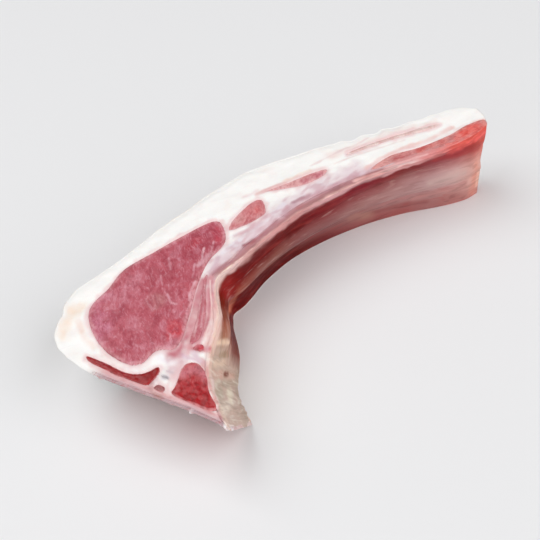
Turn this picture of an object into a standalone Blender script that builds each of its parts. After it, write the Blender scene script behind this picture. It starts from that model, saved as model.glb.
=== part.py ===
"""A raw lamb cutlet that lies on its lower cut face: one slice of the rack, with a single curved rib.

Every piece of meat, fat and bone that shows at a cut, or on the chest wall, is its own solid. All of
them are drawn on one plan, which is the outline of the upper cut face, and carried down through the
slice by one rule, so they stay next to each other at every height.

The plan is in millimetres: x runs from the split backbone to the end of the rib, and y from the
chest to the back fat. The finished part is in metres, +Z up, with its origin in the middle of its
box, on the surface that it lies on.
"""

import bmesh
import bpy
import numpy as np

MM = 0.001  # metres in one unit of the plan

# ---- driving dimensions, in millimetres --------------------------------------------------------
THICK_AT_CHINE = 18.0  # the slice is a slight wedge, thinner at the backbone
THICK_AT_TAIL = 23.0
CHINE_X = -11.0
TAIL_X = 119.0
GAP = 0.32  # clearance between neighbouring pieces
CUT_PAST = 0.06  # how far a cutter runs past each cut face, as a share of the thickness
POINT_STEP = 2.6  # spacing of the points along an outline
LEAST_POINTS = 22  # on a small closed outline
BAR_STEP = 3.2  # spacing of the sections of a bar along a wall
CORNER_REACH = 6.0  # how far from a corner a bar starts to turn with the neighbouring side
CUT_OUT = 2.0  # how far a bar's cutter stands out of the wall, in clearances

RIB_DEPTH = 5.4  # from the chest wall into the meat
RIB_BULGE = 0.8  # how far the rib stands out of the chest wall
RIB_SIDES = 14  # corners round the rib
RIB_SQUARENESS = 0.8  # 1 is a plain ellipse, and less is boxier
LIGAMENT_DEPTH = 1.4
CHINE_DEPTH = 1.2  # of the pale strip of bone along the saw cut
CHINE_STRIP_X = (-11.0, -2.0)
NECK_BAND = 1.5  # depth of the meat between the ribs, behind the chest wall, at the rib's neck
CHEST_BAND = 3.0  # in the middle
TAIL_BAND = 1.6  # and near the end of the rib
NECK_TO_CHEST_X = (32, 46)  # where the depth goes over from one to the next
CHEST_TO_TAIL_X = (70, 92)
WALL_HOLLOW = 0.7  # how far that meat sinks in between its edges

# The walls lean in towards the floor: plan x, and how far a point there has moved along x and y by
# the time that it is down at the floor. The saw cut through the backbone leans most.
LEAN_STATIONS = [
    (-12, 10.4, 4.6), (-2, 10.6, 4.6), (6, 10, 3.6), (12, 8.8, 2.8), (17, 7.8, 3.4), (23, 6.6, 4.8),
    (28, 5.4, 3.6), (33, 4, 2), (39, 2.6, 3), (50, 0.6, 5.2), (66, 0, 5.8), (90, 0, 5),
    (104, -1.4, 3), (114, -3.6, 1.8), (120, -3.6, 1.6),
]
BACK_LEAN = 0.45  # the share of the lean across that reaches the back fat
BACK_LEAN_Y = (25, 65)  # where the lean across goes over to that
CORNER_AT = (-2, -1.5)  # the chest corner of the saw cut leans further, within a short reach
CORNER_LEAN = (2.1, 4.6)
CORNER_LEAN_REACH = 9.0

# The back of the slice is soft: heights as shares, and how far it swells there, or draws in if below 0.
BACK_SWELL = [(0, -1.6), (0.08, -0.3), (0.35, 0.8), (0.68, 0.8), (0.92, 0), (1, -1.1)]

# ---- the outline of the upper cut face, side by side, anticlockwise ------------------------------
BACK_SIDE = [
    (119, 19.6), (116, 25), (109.4, 29.6), (101, 34.8), (93, 39.8), (86, 45.2), (78, 50), (66, 56.6),
    (52, 60.8), (34, 62.4), (18, 63.4), (5, 65.4), (-4, 61.2), (-9.4, 57), (-11.4, 49.4),
]
SAWN_SIDE = [(-11.4, 49.4), (-11, 40), (-8.4, 28), (-5, 15), (-3.2, 6), (-2, -1.5)]
CHEST_SIDE = [
    (-2, -1.5), (1, 4.5), (4.4, 11.4), (8, 16), (12.6, 20), (17.6, 23.2), (22, 26.8), (26.4, 32),
    (31, 35.9), (38, 35.6), (50, 35), (60, 34), (70, 31.2), (80, 27.2), (90, 21.8), (100, 16),
    (108, 12.8), (114, 12.2),
]
TAIL_SIDE = [(114, 12.2), (116.4, 15.6), (119, 19.6)]
LIGAMENT_END_X = 12.6  # along the chest side: the ligament before it, the rib and its meat after it

# ---- pieces that run straight through the slice, as closed outlines --------------------------------
EYE_MUSCLE = [
    (-3.6, 35.4), (-3.6, 44), (-1, 52), (3.4, 57), (11, 58), (18, 59.4), (27, 57.4), (37, 54.8),
    (44.6, 52), (45.4, 48.4), (41, 43.2), (33.4, 42), (26, 38.6), (18, 33.2), (11, 28.8), (7, 28.2),
    (4, 31.6), (-1, 31.8),
]
RIB_SIDE_MUSCLE = [
    (10.4, 26.2), (18, 31), (24, 35.6), (29, 39.2), (30, 38.8), (26.4, 35.8), (20.4, 29.8), (14.4, 25.4),
]
OVAL_MUSCLE = [
    (44.8, 45.6), (48.4, 47.6), (55.8, 48), (58.4, 46.2), (56.6, 42.8), (54.4, 41.4), (49, 42.8),
]
STRAP_MUSCLE = [
    (61, 47.6), (67, 44.8), (74, 41.6), (77.2, 39.2), (74.8, 38), (69.6, 39.6), (65.6, 43),
]
TAIL_MUSCLE = [
    (84, 28.6), (91, 28), (98, 23.4), (106, 19.6), (112, 18), (117, 14.6), (116, 11.4), (108, 13.6),
    (102, 17.6), (94, 22.4),
]
CAP_STREAK = [
    (85.4, 38.6), (92, 35.6), (99, 31.4), (107.6, 25.6), (106.6, 24.6), (98.2, 29.8), (91.4, 34),
    (85.4, 37.2),
]
FEATHER_BONE = [
    (-8.8, 43.4), (-8, 45.4), (-7.2, 44), (-6.2, 38.6), (-5.4, 33.4), (-3.6, 30), (-1.4, 28.4), (0.8, 27.6),
    (0.2, 26.2), (-2, 25.4), (-4.8, 25.4), (-6.2, 28.6), (-7.8, 37),
]
LAMINA_BONE = [(-4.6, 23.6), (-3, 23.6), (-2.4, 21.6), (-3.2, 20.6), (-4.4, 21.2)]
VERTEBRA = [
    (-3.2, 18.4), (-0.6, 19.8), (5, 22.4), (7.6, 20.4), (6.6, 15.4), (3.2, 10.8), (1.4, 6.6),
    (-0.6, 6.6), (-2.2, 12),
]
RIB_HEAD = [(10, 24.6), (11.8, 24.6), (12.8, 23.2), (11.8, 22), (10.6, 22.4)]

# The rib behind the chest wall: plan x, the height of its middle as a share of the slice, and width.
RIB_STATIONS = [
    (12.6, 0.62, 6), (36, 0.46, 6.4), (60, 0.42, 7.2), (78, 0.52, 8.8), (94, 0.58, 10.4), (114, 0.57, 11.2),
]


def smoothstep(value, start, end):
    """0 before start, 1 after end, and an S-curve between."""
    share = np.clip((value - start) / (end - start), 0, 1)
    return share * share * (3 - 2 * share)


def curve_through(points, closed=False, step=POINT_STEP):
    """Points about a step apart on the Catmull-Rom curve through the given points."""
    given = np.array(points, float)
    if closed:
        padded = np.vstack([given[-1:], given, given[:2]])
    else:
        padded = np.vstack([2 * given[:1] - given[1:2], given, 2 * given[-1:] - given[-2:-1]])
    found = []
    for before, start, end, after in zip(padded, padded[1:], padded[2:], padded[3:]):
        count = max(1, round(float(np.linalg.norm(end - start)) / step))
        t = (np.arange(count) / count)[:, None]
        bend = (2 * before - 5 * start + 4 * end - after) * t**2
        twist = (3 * start - before - 3 * end + after) * t**3
        found.append(start + ((end - before) * t + bend + twist) / 2)
    if not closed:
        found.append(given[-1:])
    return np.vstack(found)


def anticlockwise(outline):
    """The same outline, turned round if it runs clockwise."""
    after = np.roll(outline, -1, axis=0)
    area = (outline[:, 0] * after[:, 1] - after[:, 0] * outline[:, 1]).sum()
    return outline if area > 0 else outline[::-1]


def outward(outline):
    """The unit normals of a closed anticlockwise outline, pointing away from it."""
    along = np.roll(outline, -1, axis=0) - np.roll(outline, 1, axis=0)
    along /= np.linalg.norm(along, axis=1)[:, None]
    return np.stack([along[:, 1], -along[:, 0]], axis=1)


def thickness(x):
    """The height of the upper cut face above the floor, at a plan x."""
    return THICK_AT_CHINE + (THICK_AT_TAIL - THICK_AT_CHINE) * (x - CHINE_X) / (TAIL_X - CHINE_X)


def lean(x, y):
    """How far a plan point has moved, along x and y, by the time that it is down at the floor."""
    at, along, across = curve_through(LEAN_STATIONS).T
    from_corner = (x - CORNER_AT[0]) ** 2 + (y - CORNER_AT[1]) ** 2
    bell = np.exp(-from_corner / CORNER_LEAN_REACH**2)
    inland = 1 - (1 - BACK_LEAN) * smoothstep(y, *BACK_LEAN_Y)
    moved_along = np.interp(x, at, along) + CORNER_LEAN[0] * bell
    moved_across = np.interp(x, at, across) * inland + CORNER_LEAN[1] * bell
    return moved_along, moved_across


def place(x, y, share):
    """A plan point at a height share, 0 on the floor and 1 on the upper cut face, in metres."""
    along, across = lean(x, y)
    return np.stack([x + along * (1 - share), y + across * (1 - share), thickness(x) * share], axis=-1) * MM


def through_rings(points, grow=0.0):
    """The rings of a piece that runs through the slice, or of a cutter that runs past both faces."""
    round_length = np.linalg.norm(np.subtract(points, np.roll(points, 1, axis=0)), axis=1).sum()
    step = min(POINT_STEP, round_length / LEAST_POINTS)
    outline = anticlockwise(curve_through(points, closed=True, step=step))
    outline = outline + outward(outline) * grow
    past = CUT_PAST if grow else 0
    return [place(outline[:, 0], outline[:, 1], share) for share in (-past, 1 + past)]


def slice_rings():
    """The whole slice: soft and rounded along the back, crisp where it was cut."""
    outline, softness = [], []
    for side in (BACK_SIDE, SAWN_SIDE, CHEST_SIDE, TAIL_SIDE):
        points = curve_through(side)[:-1]
        share = np.arange(len(points)) / len(points)
        outline.append(points)
        softness.append(np.sqrt(np.sin(np.pi * share)) if side is BACK_SIDE else 0 * share)
    outline, softness = np.vstack(outline), np.concatenate(softness)
    normal = outward(outline) * softness[:, None]
    rings = []
    for share, swell in BACK_SWELL:
        ring = outline + normal * swell
        rings.append(place(ring[:, 0], ring[:, 1], share))
    return rings


def side_frame(side):
    """Points along a side of the outline, and the directions from them into the meat.

    The directions turn to follow the neighbouring sides at both corners, so that a bar ends flush.
    """
    points = curve_through(side, step=BAR_STEP)
    along = np.gradient(points, axis=0)
    inward = np.stack([-along[:, 1], along[:, 0]], axis=1)
    inward /= np.linalg.norm(inward, axis=1)[:, None]
    sides = [BACK_SIDE, SAWN_SIDE, CHEST_SIDE, TAIL_SIDE]
    place_in_round = sides.index(side)
    before, after = sides[place_in_round - 1][::-1], sides[(place_in_round + 1) % len(sides)]
    for neighbour, corner in ((before, points[0]), (after, points[-1])):
        follow = np.subtract(neighbour[1], neighbour[0])
        follow /= np.linalg.norm(follow)
        near = 1 - smoothstep(np.linalg.norm(points - corner, axis=1), 0, CORNER_REACH)[:, None]
        inward = inward * (1 - near) + follow * near
    return points, inward / np.linalg.norm(inward, axis=1)[:, None]


def bar_rings(side, section, from_x, to_x, grow=0.0):
    """The rings of a bar along a side. section(x, grow) gives its (depth, share) corners."""
    rings = []
    points, inward = side_frame(side)
    ends = np.interp([from_x, to_x], points[:, 0], np.arange(len(points)))
    stations = np.concatenate([ends[:1], np.arange(int(ends[0]) + 1, int(np.ceil(ends[1]))), ends[1:]])
    for station in stations:
        low = min(int(station), len(points) - 2)
        point = points[low] + (points[low + 1] - points[low]) * (station - low)
        direction = inward[low] + (inward[low + 1] - inward[low]) * (station - low)
        corners = np.array(section(point[0], grow), float)
        flat = point + direction * corners[:, :1]
        rings.append(place(flat[:, 0], flat[:, 1], corners[:, 1]))
    if grow:
        first, last = rings[0] - rings[1], rings[-1] - rings[-2]
        rings[0] = rings[0] + first / np.linalg.norm(first[0]) * grow * MM
        rings[-1] = rings[-1] + last / np.linalg.norm(last[0]) * grow * MM
    return rings


def rib_middle(x):
    """The height of the rib's middle, as a share of the slice's, at a plan x."""
    at, height, _ = zip(*RIB_STATIONS)
    return np.interp(x, at, height)


def rib_section(x, grow):
    """A flattened round bone that stands out of the chest wall a little."""
    at, _, width = zip(*RIB_STATIONS)
    turn = np.linspace(0, 2 * np.pi, RIB_SIDES, endpoint=False)
    waves = np.stack([np.cos(turn), np.sin(turn)])
    inward, upward = np.sign(waves) * np.abs(waves) ** RIB_SQUARENESS
    half_depth = (RIB_DEPTH + RIB_BULGE) / 2
    depth = RIB_DEPTH - half_depth + (half_depth + grow) * inward
    half_width = (np.interp(x, at, width) / 2 + grow) / thickness(x)
    return np.stack([depth, rib_middle(x) + half_width * upward], axis=1)


def band_depth(x):
    """How far the meat between the ribs reaches in behind the chest wall, at a plan x."""
    from_neck = (CHEST_BAND - NECK_BAND) * smoothstep(x, *NECK_TO_CHEST_X)
    towards_tail = (TAIL_BAND - CHEST_BAND) * smoothstep(x, *CHEST_TO_TAIL_X)
    return NECK_BAND + from_neck + towards_tail


def meat_section(low, high, x, grow):
    """The meat between two ribs, hollow along its middle on the chest side."""
    depth = band_depth(x) + grow
    front = -CUT_OUT * grow
    hollow = front if grow else WALL_HOLLOW
    up = grow / thickness(x)
    low, high = low - up, high + up
    return [(front, low), (depth, low), (depth, high), (front, high), (hollow, (low + high) / 2)]


def upper_meat_section(x, grow):
    """The meat from the middle of the rib up to the upper cut face."""
    return meat_section(rib_middle(x), 1, x, grow)


def lower_meat_section(x, grow):
    """The meat from the lower cut face up to the middle of the rib."""
    return meat_section(0, rib_middle(x), x, grow)


def slab_section(depth, x, grow):
    """A layer of even depth behind the wall, as tall as the slice."""
    front, back, up = -CUT_OUT * grow, depth + grow, grow / thickness(x)
    return [(front, -up), (back, -up), (back, 1 + up), (front, 1 + up)]


def ligament_section(x, grow):
    """The sinew on the chest side of the backbone."""
    return slab_section(LIGAMENT_DEPTH, x, grow)


def chine_section(x, grow):
    """The pale bone along the saw cut."""
    return slab_section(CHINE_DEPTH, x, grow)


def material(name, colour, roughness):
    """A plain damp finish of one colour."""
    finish = bpy.data.materials.new(name)
    finish.use_nodes = True
    finish.diffuse_color = (*colour, 1)
    shader = finish.node_tree.nodes["Principled BSDF"]
    shader.inputs["Base Color"].default_value = (*colour, 1)
    shader.inputs["Roughness"].default_value = roughness
    shader.inputs["Metallic"].default_value = 0
    return finish


def closed_mesh(name, rings):
    """A closed mesh from rings of equal length, with the first and the last filled in."""
    mesh = bpy.data.meshes.new(name)
    build = bmesh.new()
    loops = [[build.verts.new(point) for point in ring] for ring in rings]
    for low, high in zip(loops, loops[1:]):
        for i in range(len(low)):
            j = (i + 1) % len(low)
            build.faces.new((low[i], low[j], high[j], high[i]))
    build.faces.new(loops[0][::-1])
    build.faces.new(loops[-1])
    bmesh.ops.triangulate(build, faces=build.faces[:])
    bmesh.ops.recalc_face_normals(build, faces=build.faces[:])
    build.to_mesh(mesh)
    build.free()
    return mesh


def add_piece(name, rings, corner, finish):
    """A named solid of the part, with its own material, moved so that the part is centred."""
    item = bpy.data.objects.new(name, closed_mesh(name, rings))
    item.location = corner
    item.data.materials.append(material(name, *finish))
    bpy.context.scene.collection.objects.link(item)
    return item


def add_helper(name, rings, corner, group):
    """A hidden shape that other pieces are cut with."""
    item = bpy.data.objects.new(name, closed_mesh(name, rings))
    item.location = corner
    item.hide_render = True
    item.display_type = "WIRE"
    group.objects.link(item)
    return item


def new_group(name):
    """An empty collection for helpers."""
    group = bpy.data.collections.new(name)
    bpy.context.scene.collection.children.link(group)
    return group


def combine(item, other, operation):
    """Cut a piece with one helper, or with a whole group of them at once."""
    change = item.modifiers.new(f"{operation.lower()}_{other.name}", "BOOLEAN")
    change.operation = operation
    if isinstance(other, bpy.types.Collection):
        change.operand_type = "COLLECTION"
        change.collection = other
    else:
        change.object = other


def main():
    for item in list(bpy.data.objects):
        bpy.data.objects.remove(item, do_unlink=True)

    every_point = np.vstack(slice_rings())
    middle = (every_point.min(axis=0) + every_point.max(axis=0)) / 2
    corner = (-middle[0], -middle[1], 0)

    meat, waxy, bone = 0.45, 0.5, 0.6  # roughness
    through = {
        "vertebra": (VERTEBRA, (0.36, 0.05, 0.05), bone),
        "feather_bone": (FEATHER_BONE, (0.33, 0.02, 0.02), bone),
        "lamina_bone": (LAMINA_BONE, (0.38, 0.08, 0.07), bone),
        "rib_head": (RIB_HEAD, (0.5, 0.08, 0.08), bone),
        "eye_muscle": (EYE_MUSCLE, (0.46, 0.12, 0.15), meat),
        "rib_side_muscle": (RIB_SIDE_MUSCLE, (0.55, 0.2, 0.22), meat),
        "oval_muscle": (OVAL_MUSCLE, (0.6, 0.2, 0.2), meat),
        "strap_muscle": (STRAP_MUSCLE, (0.6, 0.24, 0.25), meat),
        "tail_muscle": (TAIL_MUSCLE, (0.65, 0.16, 0.14), meat),
        "cap_streak": (CAP_STREAK, (0.6, 0.3, 0.28), meat),
    }
    rib_start, rib_end = LIGAMENT_END_X + GAP, TAIL_SIDE[0][0]
    rib_run, ligament_run = (rib_start, rib_end), (CHEST_SIDE[0][0], LIGAMENT_END_X)
    bars = {
        "rib_bone": (CHEST_SIDE, rib_section, *rib_run, (0.6, 0.42, 0.38), bone),
        "upper_rib_meat": (CHEST_SIDE, upper_meat_section, *rib_run, (0.3, 0.03, 0.03), meat),
        "lower_rib_meat": (CHEST_SIDE, lower_meat_section, *rib_run, (0.55, 0.2, 0.2), meat),
        "chest_ligament": (CHEST_SIDE, ligament_section, *ligament_run, (0.5, 0.4, 0.3), bone),
        "chine_strip": (SAWN_SIDE, chine_section, *CHINE_STRIP_X, (0.7, 0.45, 0.42), bone),
    }
    gives_way = {
        "vertebra": ["chest_ligament"],
        "chine_strip": ["chest_ligament"],
        "eye_muscle": ["rib_bone"],
        "rib_side_muscle": ["rib_bone"],
        "tail_muscle": ["rib_bone", "upper_rib_meat", "lower_rib_meat"],
        "rib_head": ["rib_bone", "upper_rib_meat"],
        "upper_rib_meat": ["rib_bone"],
        "lower_rib_meat": ["rib_bone"],
    }

    guides, cutter_group = new_group("guides"), new_group("cutters")
    whole_slice = add_helper("whole_slice", slice_rings(), corner, guides)
    pieces, cutters = {}, {}
    for name, (points, *finish) in through.items():
        pieces[name] = add_piece(name, through_rings(points), corner, finish)
        cutters[name] = add_helper(f"{name}_cutter", through_rings(points, GAP), corner, cutter_group)
    for name, (side, section, start, end, *finish) in bars.items():
        rings, grown = bar_rings(side, section, start, end), bar_rings(side, section, start, end, GAP)
        pieces[name] = add_piece(name, rings, corner, finish)
        cutters[name] = add_helper(f"{name}_cutter", grown, corner, cutter_group)
    combine(pieces["tail_muscle"], whole_slice, "INTERSECT")
    for name, others in gives_way.items():
        for other in others:
            combine(pieces[name], cutters[other], "DIFFERENCE")
    fat = add_piece("fat", slice_rings(), corner, ((0.8, 0.74, 0.68), waxy))
    combine(fat, cutter_group, "DIFFERENCE")


main()
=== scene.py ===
"""A raw lamb cutlet that lies on its lower cut face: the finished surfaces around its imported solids.

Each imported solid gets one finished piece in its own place. The shapes are worked out on the plan of
the upper cut face, in millimetres: x runs from the split backbone to the end of the rib, and y from
the chest to the back fat. A height is a share of the slice's thickness, 0 on the floor and 1 on the
upper cut face. Colours are given as a screen shows them, as 0xRRGGBB.
"""

import bpy
import numpy as np
from bpy.props import FloatProperty, FloatVectorProperty, PointerProperty
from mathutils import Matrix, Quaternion, Vector


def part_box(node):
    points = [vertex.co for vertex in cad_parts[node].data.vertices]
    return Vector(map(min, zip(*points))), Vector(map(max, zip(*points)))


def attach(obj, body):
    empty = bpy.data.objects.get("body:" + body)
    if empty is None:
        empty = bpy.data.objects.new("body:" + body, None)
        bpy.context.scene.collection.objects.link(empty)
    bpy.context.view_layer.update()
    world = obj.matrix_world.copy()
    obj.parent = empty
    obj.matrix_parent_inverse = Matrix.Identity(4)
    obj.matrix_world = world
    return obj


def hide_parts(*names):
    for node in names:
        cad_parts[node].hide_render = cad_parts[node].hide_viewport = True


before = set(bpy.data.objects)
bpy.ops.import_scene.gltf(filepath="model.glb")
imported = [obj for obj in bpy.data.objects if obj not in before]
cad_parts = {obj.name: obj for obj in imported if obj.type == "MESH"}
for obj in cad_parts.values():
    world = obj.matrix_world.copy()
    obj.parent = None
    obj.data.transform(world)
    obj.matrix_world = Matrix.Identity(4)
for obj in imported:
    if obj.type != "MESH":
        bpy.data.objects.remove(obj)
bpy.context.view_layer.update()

bl_info = {
    "name": "Lamb cutlet",
    "version": (1, 0, 0),
    "blender": (4, 5, 0),
    "location": "View3D > Sidebar > Cutlet",
    "description": "Builds the finished surfaces of a raw lamb cutlet around its packed solids",
    "category": "Mesh",
}

MM = 0.001


# ---- the slice: the same driving dimensions as its solids, in millimetres ----
THICK_AT_CHINE, THICK_AT_TAIL = 18.0, 23.0
CHINE_X, TAIL_X = -11.0, 119.0
RIB_DEPTH, RIB_BULGE, RIB_SQUARENESS = 5.4, 0.8, 0.8
LIGAMENT_DEPTH, CHINE_DEPTH = 1.4, 1.2
CHINE_STRIP_X = (-11.0, -2.0)
LIGAMENT_END_X = 12.6
NECK_BAND, CHEST_BAND, TAIL_BAND = 1.5, 3.0, 1.6
NECK_TO_CHEST_X, CHEST_TO_TAIL_X = (32, 46), (70, 92)
WALL_HOLLOW = 0.7
CORNER_REACH = 6.0
STRIP_END_Y = (37.8, 39.6)  # where the strip of sawn bone gives way to the fat

# How far a point has moved along x and y by the time that it is down at the floor, by its x.
LEAN_STATIONS = [
    (-12, 10.4, 4.6), (-2, 10.6, 4.6), (6, 10, 3.6), (12, 8.8, 2.8), (17, 7.8, 3.4), (23, 6.6, 4.8),
    (28, 5.4, 3.6), (33, 4, 2), (39, 2.6, 3), (50, 0.6, 5.2), (66, 0, 5.8), (90, 0, 5),
    (104, -1.4, 3), (114, -3.6, 1.8), (120, -3.6, 1.6),
]
BACK_LEAN, BACK_LEAN_Y = 0.45, (25, 65)
CORNER_AT, CORNER_LEAN, CORNER_LEAN_REACH = (-2, -1.5), (2.1, 4.6), 9.0
BACK_SWELL = [(0, -1.2), (0.08, -0.2), (0.35, 0.8), (0.68, 0.8), (0.92, 0.2), (1, -0.1)]
BACK_SOFT = 5.0  # how far in from the back the cut faces follow that swell
BACK_SIDE = [
    (119, 19.6), (116, 25), (109.4, 29.6), (101, 34.8), (93, 39.8), (86, 45.2), (78, 50), (66, 56.6),
    (52, 60.8), (34, 62.4), (18, 63.4), (5, 65.4), (-4, 61.2), (-9.4, 57), (-11.4, 49.4),
]
SAWN_SIDE = [(-11.4, 49.4), (-11, 40), (-8.4, 28), (-5, 15), (-3.2, 6), (-2, -1.5)]
CHEST_SIDE = [
    (-2, -1.5), (1, 4.5), (4.4, 11.4), (8, 16), (12.6, 20), (17.6, 23.2), (22, 26.8), (26.4, 32),
    (31, 35.9), (38, 35.6), (50, 35), (60, 34), (70, 31.2), (80, 27.2), (90, 21.8), (100, 16),
    (108, 12.8), (114, 12.2),
]
TAIL_SIDE = [(114, 12.2), (116.4, 15.6), (119, 19.6)]

# Pieces that run straight through the slice, by the outline of each on the plan.
EYE_MUSCLE = [
    (-3.6, 35.4), (-3.6, 44), (-1, 52), (3.4, 57), (11, 58), (18, 59.4), (27, 57.4), (37, 54.8),
    (44.6, 52), (45.4, 48.4), (41, 43.2), (33.4, 42), (26, 38.6), (18, 33.2), (11, 28.8), (7, 28.2),
    (4, 31.6), (-1, 31.8),
]
RIB_SIDE_MUSCLE = [
    (10.4, 26.2), (18, 31), (24, 35.6), (29, 39.2), (30, 38.8), (26.4, 35.8), (20.4, 29.8),
    (14.4, 25.4),
]
OVAL_MUSCLE = [
    (44.8, 45.6), (48.4, 47.6), (55.8, 48), (58.4, 46.2), (56.6, 42.8), (54.4, 41.4), (49, 42.8),
]
STRAP_MUSCLE = [
    (61, 47.6), (67, 44.8), (74, 41.6), (77.2, 39.2), (74.8, 38), (69.6, 39.6), (65.6, 43),
]
TAIL_MUSCLE = [
    (84, 28.6), (91, 28), (98, 23.4), (106, 19.6), (112, 18), (116.5, 15.5), (114.6, 12.9),
    (108, 13.8), (102, 17.6), (94, 22.4),
]
CAP_STREAK = [
    (85.4, 38.6), (92, 35.6), (99, 31.4), (107.6, 25.6), (106.6, 24.6), (98.2, 29.8), (91.4, 34),
    (85.4, 37.2),
]
FEATHER_BONE = [
    (-8.8, 43.4), (-8, 45.4), (-7.2, 44), (-6.2, 38.6), (-5.4, 33.4), (-3.6, 30), (-1.4, 28.4),
    (0.8, 27.6), (0.2, 26.2), (-2, 25.4), (-4.8, 25.4), (-6.2, 28.6), (-7.8, 37),
]
LAMINA_BONE = [(-4.6, 23.6), (-3, 23.6), (-2.4, 21.6), (-3.2, 20.6), (-4.4, 21.2)]
VERTEBRA = [
    (-3.2, 18.4), (-0.6, 19.8), (5, 22.4), (7.6, 20.4), (6.6, 15.4), (3.2, 10.8), (1.4, 6.6),
    (-0.6, 6.6), (-2.2, 12),
]
RIB_HEAD = [(10, 24.6), (11.8, 24.6), (12.8, 23.2), (11.8, 22), (10.6, 22.4)]

# The rib behind the chest wall: plan x, the height of its middle as a share of the slice, and width.
RIB_STATIONS = [
    (12.6, 0.62, 6), (36, 0.46, 6.4), (60, 0.42, 7.2), (78, 0.52, 8.8), (94, 0.58, 10.4),
    (114, 0.57, 11.2),
]


# ---- how the surfaces meet, in millimetres ----
FAT_TUCK = 1.1  # how far the fat starts behind the chest wall, under the pieces that line it
SAWN_TUCK = 0.7  # how far it starts behind the strip of sawn bone
SAWN_TUCK_REACH, SAWN_POCKET = 3.0, 0.8  # how far in that reaches, and where the fat sinks there
POCKET_DEPTH = 0.9  # how far the fat sinks under a piece that runs through it
POCKET_EDGE = (0.05, 0.7)  # where that begins and ends, inside the piece's outline
NECK_JOINT = (11.9, 21.2)  # where the fat closes in behind the ligament's end
NECK_JOINT_REACH, NECK_JOINT_RISE = 1.9, 0.25  # how far that reaches, and how far it stands out
PIECE_EDGE = 0.26  # how far the border of such a piece dips below the fat
PIECE_EDGE_WIDTH = 0.55
RELIEF_EDGE = 1.2  # how far inside its border a piece's relief is at its full height
PROUD = 0.06  # how far its middle stands above the fat
END_HOLLOW, END_HOLLOW_X, END_HOLLOW_Y = 1.4, (105, 113), (15, 21)  # how the rib's end is drawn in
END_HOLLOW_AT, END_HOLLOW_REACH = 0.62, 0.15  # the height of that, and how far up and down it reaches
END_BULGE = 0.9  # how far the fat's end stands out in the middle
SIDE_STEP = 0.6  # the distance between the points of a side; the lines below count points or cells
PIECE_SIDE_POINTS, FAT_SIDE_POINTS = 160, {"chest": 400, "tail": 120, "back": 400, "sawn": 200}
FAT_CELLS, FAT_DENSER = (270, 112, 26), 0.8  # along, across and up, and how much denser they end

# Layers of soft lumps: how high, how large and which seed.
MEAT_LUMPS = [(0.12, 5, 1), (0.06, 1.5, 2), (0.03, 0.8, 3)]
BONE_LUMPS = [(0.12, 1.6, 4), (0.1, 0.8, 5)]
FAT_LUMPS = [(0.26, 7, 21), (0.13, 2.2, 22)]
BACK_LUMPS = [(0.45, (9, 9, 14), 23), (0.2, (3, 3, 5), 24)]
STREAK_LUMPS = [(1, (14, 14, 2.6), 25), (0.6, (5, 5, 1.1), 27), (0.4, (1.6, 1.6, 3), 28)]
FLECK_LUMPS = [(1, (2.6, 1.1), 34), (0.5, (1.1, 0.6), 35)]
CHEST_LUMPS = [(0.35, (2.4, 1.4), 32), (0.15, 0.9, 33)]
WALL_LUMPS = [(0.03, (7, 3), 51), (0.012, (2, 1.2), 52)]
LATTICE, LATTICE_SEED, LATTICE_SINE = (127.1, 311.7, 74.7), 53.3, 43758.5453  # behind every lump

# How a mark wanders and is blotched: its lumps' heights and sizes, and, as shares of its half width,
# where it fades and how far it reaches at all.
MARK_WANDER, MARK_BLOTCH = [(0.25, 2.1), (0.12, 0.9)], (0.22, 1.7)
MARK_FADE, MARK_REACH = (0.1, 1.05), 1.4
RIM_START, RIM_WANDER, RIM_LUMPS = 0.05, 0.3, 1.1  # the same for the pale rim of a muscle or bone
BLUSH, BLUSH_REACH, BLUSH_AT_CHEST, BLUSH_FROM_CHEST = 0.6, 1.4, 0.15, (3, 9)  # of the fat round them


# ---- numbers and fields ----
def shade(screen):
    """A screen colour as linear light: a power of 2.4, straight near black."""
    value = np.array([screen >> 16, screen >> 8 & 255, screen & 255]) / 255
    return np.where(value <= 0.04045, value / 12.92, ((value + 0.055) / 1.055) ** 2.4)


def rise(value, start, end):
    """0 before start, 1 after end, and an S-curve between."""
    share = np.clip((value - start) / (end - start), 0, 1)
    return share * share * (3 - 2 * share)


def fade(value, start, end):
    """1 before start, 0 after end, and an S-curve between."""
    return 1 - rise(value, start, end)


def between(value, starts, ends):
    """1 between two ranges, with a rise over the first and a fade over the second."""
    return rise(value, *starts) * fade(value, *ends)


def read_off(line, known, wanted):
    """A line whose points are known at some values, read off at others by straight stretches."""
    return np.stack([np.interp(wanted, known, axis) for axis in line.T], axis=-1)


def spline(before, start, end, after):
    """Catmull-Rom stretches from start to end, 25 points each: a cubic in t that keeps the direction
    of its neighbours."""
    t = np.arange(0, 1, 0.04)[:, None]
    before, start, end, after = (np.asarray(point)[:, None] for point in (before, start, end, after))
    bend = (2 * before - 5 * start + 4 * end - after) * t**2
    twist = (3 * start - before - 3 * end + after) * t**3
    return start + ((end - before) * t + bend + twist) / 2


def evenly(line, count):
    """A line read off again at even distances along it."""
    gone = np.concatenate([[0], np.cumsum(np.linalg.norm(np.diff(line, axis=0), axis=1))])
    return read_off(line, gone, np.linspace(0, gone[-1], count))


def curve_through(points, step=0.1):
    """An open curve through the points, read off about a step apart."""
    given = np.array(points, float)
    padded = np.vstack([2 * given[:1] - given[1:2], given, 2 * given[-1:] - given[-2:-1]])
    found = spline(padded[:-3], padded[1:-2], padded[2:-1], padded[3:]).reshape(-1, given.shape[1])
    dense = np.vstack([found, given[-1:]])
    return evenly(dense, int(np.linalg.norm(np.diff(dense, axis=0), axis=1).sum() / step) + 2)


def closed_curve(points):
    """The curve round a closed outline, as one stretch for each of its points."""
    ring = np.array(points, float)
    return spline(*(np.roll(ring, turn, axis=0) for turn in (1, 0, -1, -2)))


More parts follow.
